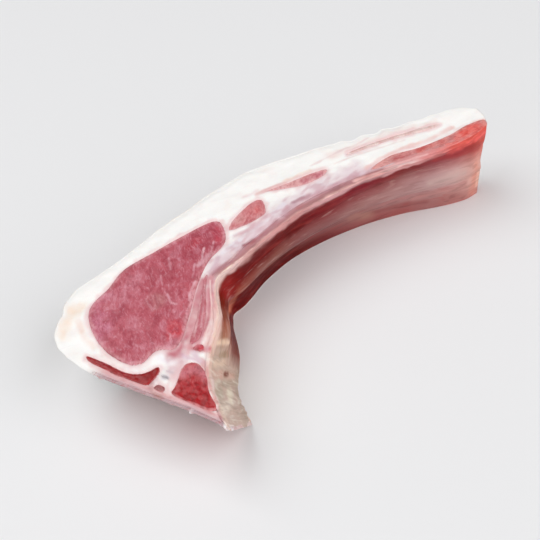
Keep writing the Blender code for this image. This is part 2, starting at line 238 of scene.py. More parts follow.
def four_sides(points, corners):
    """The near, right, far and left side of a closed outline, cut at four of its points. near and
    far run one way, and left and right the other."""
    stretches, total, sides = closed_curve(points), len(points), []
    for corner, following in zip(corners, [*corners[1:], corners[0]]):
        end = following if following > corner else following + total
        picked = [i % total for i in range(corner, end)]
        line = np.vstack([stretches[picked].reshape(-1, 2), stretches[following, :1]])
        sides.append(evenly(line, PIECE_SIDE_POINTS))
    near, right, far, left = sides
    return near, right, far[::-1], left[::-1]


def distance_to(points, line):
    """The shortest distance from each point to a line of straight stretches."""
    nearest = np.full(len(points), np.inf)
    for start, end in zip(line, line[1:]):
        along = end - start
        share = np.clip((points - start) @ along / max(along @ along, 1e-12), 0, 1)
        nearest = np.minimum(nearest, np.linalg.norm(points - start - share[:, None] * along, axis=1))
    return nearest


def depth_inside(points, outline):
    """The distance to a closed outline, above 0 inside it and below 0 outside. A point is inside
    where a ray along x crosses the outline an odd number of times."""
    ring = np.vstack([outline, outline[:1]])
    inside = np.zeros(len(points), bool)
    x, y = points.T
    for (x0, y0), (x1, y1) in zip(ring, ring[1:]):
        if y0 != y1:
            crosses = (y0 > y) != (y1 > y)
            inside ^= crosses & (x < (x1 - x0) * (y - y0) / (y1 - y0) + x0)
    return np.where(inside, 1, -1) * distance_to(points, ring)


def lumps(points, size, seed=0):
    """Soft lumps between -1 and 1, about the given size across. Each corner of a lattice has a fixed
    height, from the broken-off part of a large sine, and the heights of the corners around a point
    are blended with S-curves."""
    cell = np.asarray(points, float) / np.asarray(size, float)
    base = np.floor(cell)
    share = rise(cell - base, 0, 1)
    total = 0
    for corner in np.ndindex(*(2,) * cell.shape[-1]):
        key = (base + corner) @ np.array(LATTICE[: cell.shape[-1]]) + seed * LATTICE_SEED
        height = np.modf(np.abs(np.sin(key)) * LATTICE_SINE)[0]
        total = total + height * np.prod(np.where(corner, share, 1 - share), axis=-1)
    return total * 2 - 1


def layers(points, table):
    """The sum of the layers of soft lumps in a table."""
    return sum(height * lumps(points, size, seed) for height, size, seed in table)


# ---- the slice as a space: plan x, plan y and height share to the frame's metres ----
def thickness(x):
    """The height of the upper cut face: a straight wedge along x."""
    return THICK_AT_CHINE + (THICK_AT_TAIL - THICK_AT_CHINE) * (x - CHINE_X) / (TAIL_X - CHINE_X)


LEAN_CURVE = curve_through(LEAN_STATIONS)


def lean(x, y):
    """How far a point has moved by the time that it is at the floor: a curve of x, less at the back
    and more in a bell round the chest corner."""
    at, along, across = LEAN_CURVE.T
    from_corner = (x - CORNER_AT[0]) ** 2 + (y - CORNER_AT[1]) ** 2
    bell = np.exp(-from_corner / CORNER_LEAN_REACH**2)
    inland = 1 - (1 - BACK_LEAN) * rise(y, *BACK_LEAN_Y)
    moved_along = np.interp(x, at, along) + CORNER_LEAN[0] * bell
    return moved_along, np.interp(x, at, across) * inland + CORNER_LEAN[1] * bell


def raw_place(x, y, share, lift=0.0):
    """A plan point at a height share, lifted by some millimetres, before it is centred. The end of
    the rib is drawn in, in a bell over its height."""
    along, across = lean(x, y)
    bell = np.exp(-(((share - END_HOLLOW_AT) / END_HOLLOW_REACH) ** 2)) * rise(x, *END_HOLLOW_X)
    x = x - END_HOLLOW * bell * fade(y, *END_HOLLOW_Y)
    down = 1 - share
    return np.stack([x + along * down, y + across * down, thickness(x) * share + lift], axis=-1)


def plan_middle():
    """The plan point above the frame's origin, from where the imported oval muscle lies."""
    low, high = (np.array(corner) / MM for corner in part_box("oval_muscle"))
    outline = closed_curve(OVAL_MUSCLE).reshape(-1, 2)
    ends = np.vstack([raw_place(*outline.T, share) for share in (0.0, 1.0)])
    middle = (ends.min(axis=0) + ends.max(axis=0)) / 2 - (low + high) / 2
    return middle[:2]


MIDDLE = plan_middle()


def place(x, y, share, lift=0.0):
    """The same point in the frame, in metres."""
    return (raw_place(x, y, share, lift) - (*MIDDLE, 0)) * MM


def rib_middle(x):
    """The height of the rib's middle, as a share of the slice's."""
    at, height, _ = zip(*RIB_STATIONS)
    return np.interp(x, at, height)


def rib_half_width(x):
    """Half the rib's width, as a share of the slice's thickness."""
    at, _, width = zip(*RIB_STATIONS)
    return np.interp(x, at, width) / 2 / thickness(x)


def band_depth(x):
    """How far the meat between the ribs reaches in behind the chest wall."""
    from_neck = (CHEST_BAND - NECK_BAND) * rise(x, *NECK_TO_CHEST_X)
    return NECK_BAND + from_neck + (TAIL_BAND - CHEST_BAND) * rise(x, *CHEST_TO_TAIL_X)


def side_frame(side, before, after):
    """Points along a side and the directions into the meat, which turn to follow the neighbours at
    both corners."""
    points = curve_through(side, step=SIDE_STEP)
    along = np.gradient(points, axis=0)
    inward = np.stack([-along[:, 1], along[:, 0]], axis=1)
    inward /= np.linalg.norm(inward, axis=1)[:, None]
    for neighbour, corner in ((before[::-1], points[0]), (after, points[-1])):
        follow = np.subtract(neighbour[1], neighbour[0])
        near = fade(np.linalg.norm(points - corner, axis=1), 0, CORNER_REACH)[:, None]
        inward = inward * (1 - near) + follow / np.linalg.norm(follow) * near
    return points, inward / np.linalg.norm(inward, axis=1)[:, None]


# ---- two kinds of closed skin ----
def block_skin(cells):
    """The skin of a block of cells: its lattice points as shares of the three sides, and its quads.
    Six grids, one for each face of the block, are joined where their lattice points are the same."""
    points, quads, start = [], [], 0
    for axis, end in np.ndindex(3, 2):
        first, second = (axis + 1) % 3, (axis + 2) % 3
        i, j = np.meshgrid(np.arange(cells[first] + 1), np.arange(cells[second] + 1), indexing="ij")
        grid = np.empty((*i.shape, 3), int)
        grid[..., first], grid[..., second], grid[..., axis] = i, j, end * cells[axis]
        index = start + np.arange(i.size).reshape(i.shape)
        ring = [index[:-1, :-1], index[1:, :-1], index[1:, 1:], index[:-1, 1:]]
        quads.append(np.stack(ring if end else ring[::-1], axis=-1).reshape(-1, 4))
        points.append(grid.reshape(-1, 3))
        start += i.size
    points, same = np.unique(np.vstack(points), axis=0, return_inverse=True)
    return points / cells, same.reshape(-1)[np.vstack(quads)]


def tube_skin(rings, around):
    """The quads of a tube of rings, and the two fans that close its ends. The last two points are
    the middles of the first ring and of the last."""
    index = np.arange(rings * around).reshape(rings, around)
    turned = np.roll(index, -1, axis=1)
    quads = np.stack([index[:-1], turned[:-1], turned[1:], index[1:]], axis=-1).reshape(-1, 4)
    first = np.stack([turned[0], index[0], np.full(around, rings * around)], axis=-1)
    last = np.stack([index[-1], turned[-1], np.full(around, rings * around + 1)], axis=-1)
    return quads, np.vstack([first, last])


def patch(near, right, far, left, u, v):
    """A point of a surface between four sides: the blend of near and far, plus the blend of left and
    right, less the blend of the corners. near and far run along u, left and right along v."""
    u_, v_ = u[:, None], v[:, None]
    low, high, first, last = (
        read_off(side, np.linspace(0, 1, len(side)), share)
        for side, share in ((near, u), (far, u), (left, v), (right, v))
    )
    corners = (near[0] * (1 - u_) + near[-1] * u_) * (1 - v_) + (far[0] * (1 - u_) + far[-1] * u_) * v_
    return low * (1 - v_) + high * v_ + (first * (1 - u_) + last * u_) - corners


def put(name, data):
    """A new object in the scene, at the origin."""
    item = bpy.data.objects.new(name, data)
    bpy.context.scene.collection.objects.link(item)
    return item


def add_piece(node, finish, points, faces, tint, grain):
    """Build a closed skin that faces outwards, with its colour and its grain as attributes. It rides on
    the part's body, stands for the solid of its node, and has its finish as its material."""
    halves = ([0, 1, 2], [0, 2, 3])
    triangles = np.vstack([grid[:, half] for grid in faces for half in halves[: grid.shape[1] - 2]])
    a, b, c = (points[triangles[:, i]] for i in range(3))
    if np.einsum("ij,ij->", a, np.cross(b, c)) < 0:
        faces = [grid[:, ::-1] for grid in faces]
    mesh = bpy.data.meshes.new(node)
    mesh.from_pydata(points.tolist(), [], [face for grid in faces for face in grid.tolist()])
    tint = np.column_stack([np.clip(tint, 0, 1), np.ones(len(points))])
    for name, kind, key, values in (
        ("tint", "FLOAT_COLOR", "color", tint), ("grain", "FLOAT_VECTOR", "vector", grain),
    ):
        layer = mesh.attributes.new(name, kind, "POINT")
        layer.data.foreach_set(key, values.astype(np.float32).ravel())
    mesh.shade_smooth()
    mesh.materials.append(finish)
    item = put(f"{node}_surface", mesh)
    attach(item, "root")
    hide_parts(node)


def blend(colour, over, weight):
    """One colour over another, by a weight from 0 to 1 at each point."""
    return colour + (np.asarray(over) - colour) * np.asarray(weight)[..., None]


def ramp(value, *stops):
    """A colour that changes along a value. A stop is its value first and its colour last."""
    at, colours = [stop[0] for stop in stops], np.array([shade(stop[-1]) for stop in stops])
    return read_off(colours, at, value)


def lay(tint, points, marks):
    """Lay marks over a colour: (colour, strength, half width, x, y, x, y ...). A mark is blotchy and
    fullest on its path, a line or one spot, and nothing a half width away, along a wandering edge."""
    for seed, (over, weight, width, *path) in enumerate(marks):
        path = np.reshape(path, (-1, 2)).astype(float)
        line = curve_through(path, step=0.8) if len(path) > 1 else np.repeat(path, 2, axis=0)
        reach = MARK_REACH * width
        near = np.all((points > line.min(axis=0) - reach) & (points < line.max(axis=0) + reach), axis=1)
        spots = points[near]
        wander = layers(spots, [(height, size, seed) for height, size in MARK_WANDER])
        start, end = np.multiply(MARK_FADE, width)
        full = fade(distance_to(spots, line) + width * wander, start, end)
        blotchy = weight + layers(spots, [(*MARK_BLOTCH, seed + 60)])
        tint[near] = blend(tint[near], shade(over), np.clip(blotchy, 0, 1) * full)
    return tint


def denser_at_ends(share):
    """Heights from 0 to 1 that lie closer together near both ends, by a sine."""
    return share - FAT_DENSER * np.sin(2 * np.pi * share) / (2 * np.pi)


# ---- wet finishes: node materials ----
class Finish:
    """A wet, uneven finish under construction. Lengths are in millimetres of the slice's own space,
    which each piece carries as its grain attribute."""

    def __init__(self, name):
        self.material = bpy.data.materials.new(name)
        self.material.use_nodes = True
        self.tree = self.material.node_tree
        self.grain = self.add("ShaderNodeAttribute", {}, attribute_name="grain").outputs["Vector"]
        self.colour = self.add("ShaderNodeAttribute", {}, attribute_name="tint").outputs["Color"]
        self.normal = None

    def add(self, kind, inputs, **settings):
        """A node with its settings and its inputs."""
        node = self.tree.nodes.new(kind)
        for key, value in settings.items():
            setattr(node, key, value)
        return self.feed(node, inputs)

    def feed(self, node, inputs):
        """Join each of a node's inputs to another socket, or set it."""
        for key, value in inputs.items():
            if isinstance(value, bpy.types.NodeSocket):
                self.tree.links.new(value, node.inputs[key])
            else:
                node.inputs[key].default_value = value
        return node

    def noise(self, size, detail=3.0, turn=0.0, distortion=0.0):
        """Cloudy noise from 0 to 1. The grain is turned about the vertical and then divided by the
        noise's three sizes."""
        inputs = {"Vector": self.grain, "Scale": size, "Rotation": (0, 0, turn)}
        grain = self.add("ShaderNodeMapping", inputs, vector_type="TEXTURE").outputs["Vector"]
        inputs = {"Vector": grain, "Scale": 1.0, "Detail": detail, "Distortion": distortion}
        return self.add("ShaderNodeTexNoise", inputs).outputs["Fac"]

    def range(self, value, low, high, to_low, to_high):
        """A value brought from one range into another, along an S-curve, and kept inside it."""
        ends = {"From Min": low, "From Max": high, "To Min": to_low, "To Max": to_high}
        inputs = {"Value": value, **ends}
        return self.add("ShaderNodeMapRange", inputs, interpolation_type="SMOOTHSTEP").outputs["Result"]

    def paint(self, over, pattern, low, high, weight):
        """Lay a colour over what is there, by a weight that comes in from low to high."""
        inputs = {0: self.range(pattern, low, high, 0.0, weight), 6: self.colour, 7: (*shade(over), 1)}
        self.colour = self.add("ShaderNodeMix", inputs, data_type="RGBA").outputs[2]

    def emboss(self, height, strength, distance):
        """Raise the surface by a height, over what is already raised."""
        inputs = {"Height": height, "Strength": strength, "Distance": distance * MM}
        if self.normal:
            inputs["Normal"] = self.normal
        self.normal = self.add("ShaderNodeBump", inputs).outputs["Normal"]

    def close(self, pattern, smooth, rough, gloss, coat, soft, radius):
        """Join everything to the shader: a roughness that follows a pattern from smooth to rough, a
        gloss, a wet coat, and light that soaks in."""
        self.feed(self.tree.nodes["Principled BSDF"], {
            "Base Color": self.colour, "Normal": self.normal,
            "Roughness": self.range(pattern, 0.3, 0.7, smooth, rough), "Specular IOR Level": gloss,
            "Coat Weight": coat, "Coat Roughness": 0.15, "Subsurface Weight": soft,
            "Subsurface Radius": radius, "Subsurface Scale": MM,
        })
        return self.material


def meat_finish(name, pale, deep, turn, look):
    """Lean meat cut across its grain: short pale and dark fibres that lie one way, and a damp film."""
    finish = Finish(name)
    clouds = finish.noise((5.4, 3.4, 14), 3.0, turn, 1.2)
    fibres = finish.noise((2.4, 1.1, 12), 2.0, turn, 1.4)
    fine = finish.noise((0.8, 0.45, 8), 3.0, turn + 0.3, 0.8)
    finish.paint(deep, clouds, 0.46, 0.66, 0.8 * look.cloud)
    finish.paint(pale, clouds, 0.5, 0.34, 0.4 * look.web)
    finish.paint(deep, fibres, 0.5, 0.72, 0.8 * look.cloud)
    finish.paint(pale, fibres, 0.48, 0.3, 0.5 * look.web)
    finish.paint(deep, fine, 0.52, 0.72, 0.4 * look.cloud)
    finish.paint(pale, fine, 0.46, 0.28, 0.4 * look.web)
    finish.emboss(fibres, 0.35, 0.1)
    finish.emboss(fine, 0.25, 0.04)
    return finish.close(fine, 0.36, 0.5, 0.4, look.wet, 0.1, (1.0, 0.35, 0.3))


def fat_finish(name, look):
    """Firm fat: waxy white with faint threads along the slice, and a damp film."""
    finish = Finish(name)
    cloud = finish.noise((5, 5, 5))
    threads = finish.noise((6, 0.8, 5), 3.0, -0.5, 1.0)
    finish.paint(0xF8E6E2, cloud, 0.52, 0.74, 0.3)
    finish.paint(0xEAD8DC, threads, 0.58, 0.78, 0.25)
    finish.emboss(finish.noise((3.5, 2.2, 3.5)), 0.5, 0.3)
    finish.emboss(finish.noise((0.9, 0.5, 0.9), 4.0), 0.35, 0.1)
    return finish.close(cloud, 0.4, 0.55, 0.4, look.wet, 0.12, (1.0, 0.75, 0.6))


def bone_finish(name, pale, deep, look):
    """Sawn spongy bone: dark grains and pale struts of half a millimetre, and a wet film."""
    finish = Finish(name)
    grains = finish.noise((1.2, 0.8, 1.4), 2.0, 0.9, 0.8)
    cloud = finish.noise((3, 2.2, 4), 2.0)
    finish.paint(deep, grains, 0.5, 0.68, 0.45)
    finish.paint(pale, grains, 0.42, 0.26, 0.16)
    finish.paint(deep, cloud, 0.5, 0.7, 0.4)
    finish.emboss(grains, 0.6, 0.18)
    return finish.close(cloud, 0.28, 0.42, 0.35, look.wet, 0.06, (1.0, 0.3, 0.25))


def wall_finish(name, pale, deep, run, strength):
    """The chest wall: a thin skin over bone, meat or sinew, with soft streaks that run one way. run
    is the streaks' size along the wall, into it and up it."""
    finish = Finish(name)
    streaks = finish.noise(run, 3.0, 0.0, 0.7)
    fine = finish.noise(tuple(length * 0.35 for length in run), 2.0)
    finish.paint(deep, streaks, 0.5, 0.68, strength)
    finish.paint(pale, streaks, 0.47, 0.3, strength)
    finish.paint(pale, fine, 0.42, 0.25, 0.5 * strength)
    finish.emboss(streaks, 0.5, 0.2)
    finish.emboss(fine, 0.4, 0.08)
    return finish.close(fine, 0.34, 0.5, 0.13, 0.0, 0.05, (1.0, 0.5, 0.4))


# ---- marks on the cut face ----
# A mark is a colour, a strength, a half width in millimetres, and x and y of each point of its path.
FAT_WHITE = 0xFEFCF9
FAT_MARKS = [
    # the outer fat and the membranes beside the eye muscle
    (0xFAE0CC, 0.75, 3.2, -7, 56, -2, 59.4, 1.6, 60),
    (0xF0C2B0, 0.4, 1.4, -4.8, 46, -3.6, 51, -1.4, 56),
    (0xEECCC8, 0.4, 1.6, -5, 35, -5, 42),
    (0xECC8CE, 0.5, 1.2, -3.6, 33, -1, 30.6, 3, 31.2, 6, 28),
    # the neck of the bone: cartilage, sinew and the canal
    (0xE2BEC5, 0.75, 3.4, 2, 22.5, 6, 24.5),
    (0xF8F2F6, 0.8, 1.6, 3, 29.4, 4, 25.5),
    (0xDCBACA, 0.7, 0.8, 7, 25, 7.9, 21.6, 8.7, 19),
    (0xE2A6AC, 0.7, 1.5, 8.6, 24.4, 10, 26, 13, 25),
    (0xCC5462, 1, 1.6, 10, 24.6, 12, 21.4),
    (0xEABEC2, 0.6, 1.3, 13.4, 22.4, 11.6, 20.4),
    (0xB07E78, 0.75, 1.1, -5.2, 20.4, -5.3, 23, -4, 24.8),
    (0xD8D2DA, 0.7, 1.7, -0.6, 23.6),
    (0x766C76, 0.8, 0.6, -0.7, 24.4, -0.3, 22.8),
    (0xCEBAC4, 0.6, 0.5, 1.2, 24.6, 1.8, 22.6),
    (0xE8C4C4, 0.6, 0.6, -3.8, 18.8, -2, 20.9, 0, 22, 3, 23, 5.6, 23.8),
    (0xD89494, 0.8, 1.3, 2.2, 7.6, 4.4, 12.4, 7.2, 16.4, 9, 20),
    (0xF2D8D2, 0.8, 0.8, 2, 5, 5, 11.2, 8.4, 16.2, 11, 20.2),
    (0xEAC0C0, 0.9, 1.5, -0.4, 4.6, 1.2, 5.8),
    # the seams beside the rib-side muscle
    (0xC56B79, 1, 3.6, 6.6, 27.2, 9.6, 27.6, 13, 29.4, 18, 32.4, 23, 36, 27, 38.8),
    (0xB65464, 0.8, 0.6, 10, 28.2, 15, 30.8, 20, 34.4),
    (0xF0CCD0, 0.8, 0.4, 8.4, 28, 16, 32, 22, 36.2, 29, 40.6),
    (0xD8929A, 1, 2.1, 12, 24.6, 20, 28.6, 25.4, 33.4, 29.4, 37.4),
    (0xBE626E, 0.7, 0.5, 14.6, 25, 20.6, 29, 26.6, 34.8),
    (0xF6D6D2, 0.8, 0.35, 14, 24.2, 21, 28.4, 26, 33.8, 29, 37),
    (0xECC0BC, 0.8, 1.7, 13.6, 22.6, 18, 25, 22.6, 29.2),
    (0xE2C6D0, 0.8, 1.3, 8.4, 20, 9.4, 23.4),
    # the silverskin over the rib
    (0xE6D2D8, 0.75, 3.4, 34, 40.4, 42, 40.4, 50, 39.8, 62, 39, 72, 36.6, 82, 32.8),
    (0xEEE6EE, 0.7, 1.3, 38, 41.4, 44, 40.6),
    (0xEEE6EE, 0.6, 1.4, 54, 39.6, 60, 39.8),
    (0xD6B4C0, 0.6, 1.1, 33, 39.6, 36, 41),
    (0xD2B0BE, 0.5, 1.1, 44.6, 43, 48, 41.2, 52, 40),
    (0xAA6C72, 0.8, 0.9, 31, 38, 34, 37.9, 37, 37.4),
    (0xBA8086, 0.65, 0.8, 37, 37.6, 43, 37.7),
    (0xA25E66, 0.9, 1.1, 43.2, 38.2, 46, 37.4),
    (0xB27A82, 0.7, 0.9, 46, 37.1, 50, 36.6, 55, 37.2),
    (0xA06676, 0.85, 1, 62.6, 38, 65.6, 37),
    (0xC08E98, 0.65, 1.3, 57, 37.4, 62, 37.6, 67, 36.2),
    (0xCEA2AA, 0.5, 1.1, 66, 35.4, 72, 33.6, 79, 31),
    (0xAC7878, 0.7, 0.6, 60, 35.3, 70, 32.8, 80, 28.9, 86, 26.2),
    # round the small muscles
    (0xE0B2B8, 0.6, 1.2, 45, 42.2, 50, 40.8, 55, 40.2),
    (0xDEA8A4, 0.75, 1, 59, 48.6, 63, 46.8, 66.6, 45),
    (0xF2D0C0, 0.6, 1.2, 67, 45.6, 74, 42.6),
    (0xECD0D0, 0.5, 1.3, 56, 51, 60, 49.4),
    (0xF2D8D3, 0.55, 2.4, 82, 41.4, 92, 36.6, 100, 32, 108, 26),
    (0xE8CECE, 0.5, 0.6, 76, 43.6, 84, 40.8, 93, 37.6),
    (0xECD4D2, 0.5, 0.5, 80, 38.6, 90, 33.2, 98, 28.2),
    (0xEEBEB8, 0.6, 1.4, 84, 30.2, 94, 27, 102, 22.8, 109, 20.8),
    (0xD27C7C, 0.9, 1.6, 90, 24.4, 94, 22),
    (0xE66258, 0.9, 2.6, 103.6, 15.4, 106, 14.6, 110, 13.4, 115, 12.8),
    (0xF0BEBA, 0.85, 0.8, 78, 29.6, 86, 25.1, 91, 21.4),
    (0xECB4B2, 0.7, 0.5, 86.6, 25.8, 91, 23.2, 97, 19.4),
    (0xF0C4B8, 0.7, 1, 113.6, 17, 116.4, 15),
]
EYE_MARKS = [
    (0xD0809A, 0.6, 7, 0, 50),
    (0xCE7A8E, 0.6, 3, 3, 56, 9, 57),
    (0xAC4252, 0.7, 5, 32, 48, 39, 49),
    (0xC43C48, 0.5, 2.2, 34.6, 50.2, 36.5, 49.6),
    (0xC43E50, 0.5, 2.2, 41, 45.6, 43.4, 48),
    (0xBE7C7E, 0.6, 4, 16, 43.6),
    (0xD0424C, 0.8, 3, 11, 31.4, 12.6, 33.8),
    (0xB04654, 0.5, 5, 20, 50, 25, 46),
    (0xCE808E, 0.4, 4, 10, 53, 18, 54),
    (0xDEACB4, 0.6, 1.4, 31, 43.4, 36, 43.6),
    (0xD48896, 0.6, 2.6, 6, 30.6, 9, 29.4),
    (0xC85C68, 0.5, 3, 18, 36, 24, 40),
    (0xA83E50, 0.5, 2.2, 1, 38, 4, 42),
    (0xA83E50, 0.5, 1.6, 7, 48, 10, 50),
    (0xECBEC6, 0.6, 0.5, 33, 44.2, 36.2, 46.6),
    (0xE8B8C2, 0.4, 0.5, 36.6, 44.2, 39.4, 46),
    (0xECBAC2, 0.7, 0.5, 21, 36.6, 23, 38.4, 26.4, 40),
    (0xEAB6BE, 0.6, 0.5, 18.6, 34.8, 21.4, 36, 24, 38),
    (0xE6B0BA, 0.5, 0.4, 18, 38.4, 17.6, 40.6, 19, 43),
    (0xE4AAB6, 0.6, 0.4, 15.4, 32.4, 18, 34.6),
    (0xDEA0AA, 0.5, 0.5, 8, 30, 10, 32.6),
    (0xE2A8B4, 0.35, 0.4, 20.4, 46.4, 22.6, 49.6),
    (0xE2AAB6, 0.5, 0.45, 25.6, 48.6, 28, 52),
    (0xE2AAB6, 0.5, 0.45, 27, 41.6, 30.6, 44.6),
    (0xE2AAB6, 0.35, 0.4, 12.6, 42, 14, 45.6),
]
RIB_SIDE_MARKS = [
    (0xE6B8BC, 0.7, 0.5, 13, 26.8, 18, 30.6, 24, 35.2),
    (0xE4B4BA, 0.6, 0.4, 16.4, 27.6, 21, 31.6, 27, 37),
    (0xB6606E, 0.6, 0.6, 20, 31, 25.6, 35.8),
]
OVAL_MARKS = [
    (0xDAA09E, 0.7, 2.4, 49.6, 46),
    (0xDC6E6E, 0.7, 2.2, 54.6, 44.6),
    (0xBC686E, 0.6, 0.9, 46, 44.8, 50, 43.2, 54, 42.2),
    (0xE4B2B0, 0.6, 0.9, 47.4, 47.2, 53, 47.8),
]
STRAP_MARKS = [
    (0xC26474, 0.85, 1.6, 70.4, 41, 75, 39.2),
    (0xE6B6AC, 0.7, 0.9, 67.4, 44.4, 73, 41.9),
    (0xDEAEAE, 0.7, 1.4, 61, 47.4, 65, 45),
]
TAIL_MARKS = [
    (0xE8584E, 0.85, 3.6, 108, 16, 112, 15.6),
    (0xBE5C62, 0.6, 1.5, 91, 25.6, 98, 22),
    (0xEEB6B2, 0.75, 0.8, 88, 25, 92.4, 22.8, 97, 20),
    (0xE4A09C, 0.7, 1.6, 85, 28.4, 88, 27.6),
    (0xDA625A, 0.6, 1.8, 97, 22.4, 104, 19),
    (0xECA096, 0.6, 0.9, 105, 19.6, 111, 17.8),
    (0xE66258, 0.9, 1.3, 103, 16.6, 108, 13.8, 114.6, 12.9),
    (0xDE766C, 0.7, 1, 114.6, 12.9, 116.4, 15.2),
]
# a painted shade line along the cap streak
CAP_SHADE_MARKS = [(0xC89A96, 0.55, 0.6, 86, 37.8, 92, 34.7, 99, 30.4, 107, 25)]
FEATHER_MARKS = [
    (0x920A10, 0.9, 2, -4.6, 30, -3.4, 27.4, -0.6, 26.8),
    (0x961A20, 0.7, 1, -7.8, 43.6, -6.8, 38, -5.6, 32),
    (0xCC6E6E, 0.5, 0.5, -4.2, 31.4, -2, 28.8),
]
VERTEBRA_MARKS = [
    (0xAC0A14, 0.95, 3, -1.4, 17, -0.8, 14, 0, 9),
    (0xD4808A, 0.85, 2.8, 3.4, 20.6, 6, 18.6, 6, 15.6),
    (0xAA1C24, 0.7, 1.4, 1.6, 13.4, 3.6, 16),
    (0xBE5458, 0.6, 1.2, -1.6, 18, 1.6, 19.4),
]
RIB_HEAD_MARKS = [(0xC63444, 0.9, 1.1, 11.2, 23, 11.8, 22.6)]

# Where sinew lies between the muscles and the chest wall.
SEAM = [
    (-4, 22), (3, 25.6), (8, 25), (13, 27.4), (24, 36), (33, 40.4), (50, 39.8), (66, 37.6), (80, 32.4),
]
SAWN_LINE, CHEST_LINE, BACK_LINE, SEAM_LINE = (
    curve_through(side, step=1.0) for side in (SAWN_SIDE, CHEST_SIDE, BACK_SIDE, SEAM)
)

# Colours from the saw cut inwards, from the chest inwards, along its cream edge and along its end.
STRIP_COLOURS = [(0, 0xBC9A9E), (0.6, 0xB2949A), (1.3, 0xD4AFB3), (2.2, 0xD49090), (3, 0xDEB0AE)]
SKIN_COLOURS = [(0.1, 0xE8C0B8), (0.5, 0xCE9E9A), (0.9, 0xB68082), (2, 0xC08C90), (3.2, 0xE0C2CA)]
CREAM_COLOURS = [
    (4, 0xEED6CC), (12, 0xF0C8BA), (20, 0xF8E0CC), (34, 0xF8E2D2), (60, 0xF4CEC8), (90, 0xE8A09C),
]
CREAM_WIDTH = (22, 30, 50), (1.0, 0.55, 0.3)
CORAL_COLOURS = [(90, 0xDC9494), (98, 0xDE8E8C), (105, 0xE66C64), (114, 0xE66056)]


def paint_cut(plan):
    """Fat and skins on a cut face. Along the saw cut lies a rosy strip, and along the chest a cream
    skin with mauve meat behind it; then come the marks, and rosy flecks along the seam."""
    tint = np.tile(shade(FAT_WHITE), (len(plan), 1))
    x, y = plan.T
    sawn = distance_to(plan, SAWN_LINE) + 0.3 * lumps(plan, (1.6, 3), 31)
    tint = blend(tint, ramp(sawn, *STRIP_COLOURS), fade(sawn, 2.2, 3.4) * fade(y, 36, 43))
    chest = distance_to(plan, CHEST_LINE) + layers(plan, CHEST_LUMPS)
    tint = blend(tint, ramp(chest, *SKIN_COLOURS), fade(chest, 3, 6) * between(x, (27, 33), (84, 98)))
    cream = fade(chest / np.interp(x, *CREAM_WIDTH), 0.5, 1.1) * fade(x, 86, 94)
    tint = blend(tint, ramp(x, *CREAM_COLOURS), cream)
    tint = blend(tint, ramp(x, *CORAL_COLOURS), fade(chest, 2.4, 4.6) * rise(x, 89, 96))
    tint = lay(tint, plan, FAT_MARKS)
    seam = fade(distance_to(plan, SEAM_LINE), 1.5, 4.5) * (1 - 0.75 * between(x, (6, 11), (26, 31)))
    return blend(tint, shade(0xCC98A4), 0.5 * seam * rise(layers(plan, FLECK_LUMPS), -0.2, 1))


# ---- pieces that run through the slice ----
# Each has its outline, which of the outline's points are the corners of its four sides, its cells,
# its main colour and its marks, and its pale rim's width in millimetres and strength.
THROUGH = {
    "eye_muscle": (EYE_MUSCLE, (3, 8, 10, 17), (150, 96), 0xBC5563, EYE_MARKS, 1.7, 0.55),
    "rib_side_muscle": (RIB_SIDE_MUSCLE, (0, 3, 4, 7), (72, 16), 0xBF6472, RIB_SIDE_MARKS, 0.9, 0.4),
    "oval_muscle": (OVAL_MUSCLE, (0, 2, 4, 6), (44, 24), 0xD58184, OVAL_MARKS, 1.3, 0.7),
    "strap_muscle": (STRAP_MUSCLE, (0, 2, 4, 6), (50, 20), 0xE2A7A7, STRAP_MARKS, 1.2, 0.7),
    "tail_muscle": (TAIL_MUSCLE, (0, 5, 6, 9), (100, 30), 0xD29492, TAIL_MARKS, 0.8, 0.15),
    "cap_streak": (CAP_STREAK, (0, 3, 4, 7), (76, 10), 0xF0DCD6, CAP_SHADE_MARKS, 0.7, 0.5),
    "feather_bone": (FEATHER_BONE, (2, 7, 8, 0), (76, 14), 0xA0161A, FEATHER_MARKS, 0.4, 0.5),
    "lamina_bone": (LAMINA_BONE, (0, 1, 2, 4), (14, 16), 0xA66667, [], 0.5, 0.6),
    "vertebra": (VERTEBRA, (0, 2, 6, 7), (40, 50), 0xB43036, VERTEBRA_MARKS, 0.8, 0.7),
    "rib_head": (RIB_HEAD, (0, 1, 2, 4), (14, 14), 0xE88C96, RIB_HEAD_MARKS, 0.4, 0.5),
}
SLICE_CELLS_UP = 6


def outline_of(name):
    """A piece's closed outline, five points to a stretch."""
    ring = closed_curve(THROUGH[name][0])[:, ::5].reshape(-1, 2)
    return np.vstack([ring, ring[:1]])


def grain_of(plan, share):
    """The slice's own space as a mark: plan x, plan y and height, in millimetres."""
    return np.column_stack([plan, share * thickness(plan[:, 0])])


def add_through(name, relief, finish, rim_colour):
    """Build a piece that runs through the slice: the patch between its four sides, carried down by
    the slice's lean. Both cut faces dip along the border and have a low relief of lumps."""
    points, corners, cells, colour, marks, rim_width, rim_strength = THROUGH[name]
    share, quads = block_skin((*cells, SLICE_CELLS_UP))
    height = share[:, 2]
    plan = patch(*four_sides(points, corners), share[:, 0], share[:, 1])
    rim = distance_to(plan, outline_of(name))
    face = PROUD - PIECE_EDGE * fade(rim, 0, PIECE_EDGE_WIDTH)
    face = face + layers(plan, relief) * rise(rim, 0, RELIEF_EDGE)
    lift = np.select([height == 1, height == 0], [face, np.maximum(PROUD - face, 0)], 0)
    tint = lay(np.tile(shade(colour), (len(plan), 1)), plan, marks)
    ragged = rim + RIM_WANDER * rim_width * lumps(plan, RIM_LUMPS, 41)
    tint = blend(tint, shade(rim_colour), rim_strength * fade(ragged, RIM_START, rim_width))
    add_piece(name, finish, place(*plan.T, height, lift), [quads], tint, grain_of(plan, height))


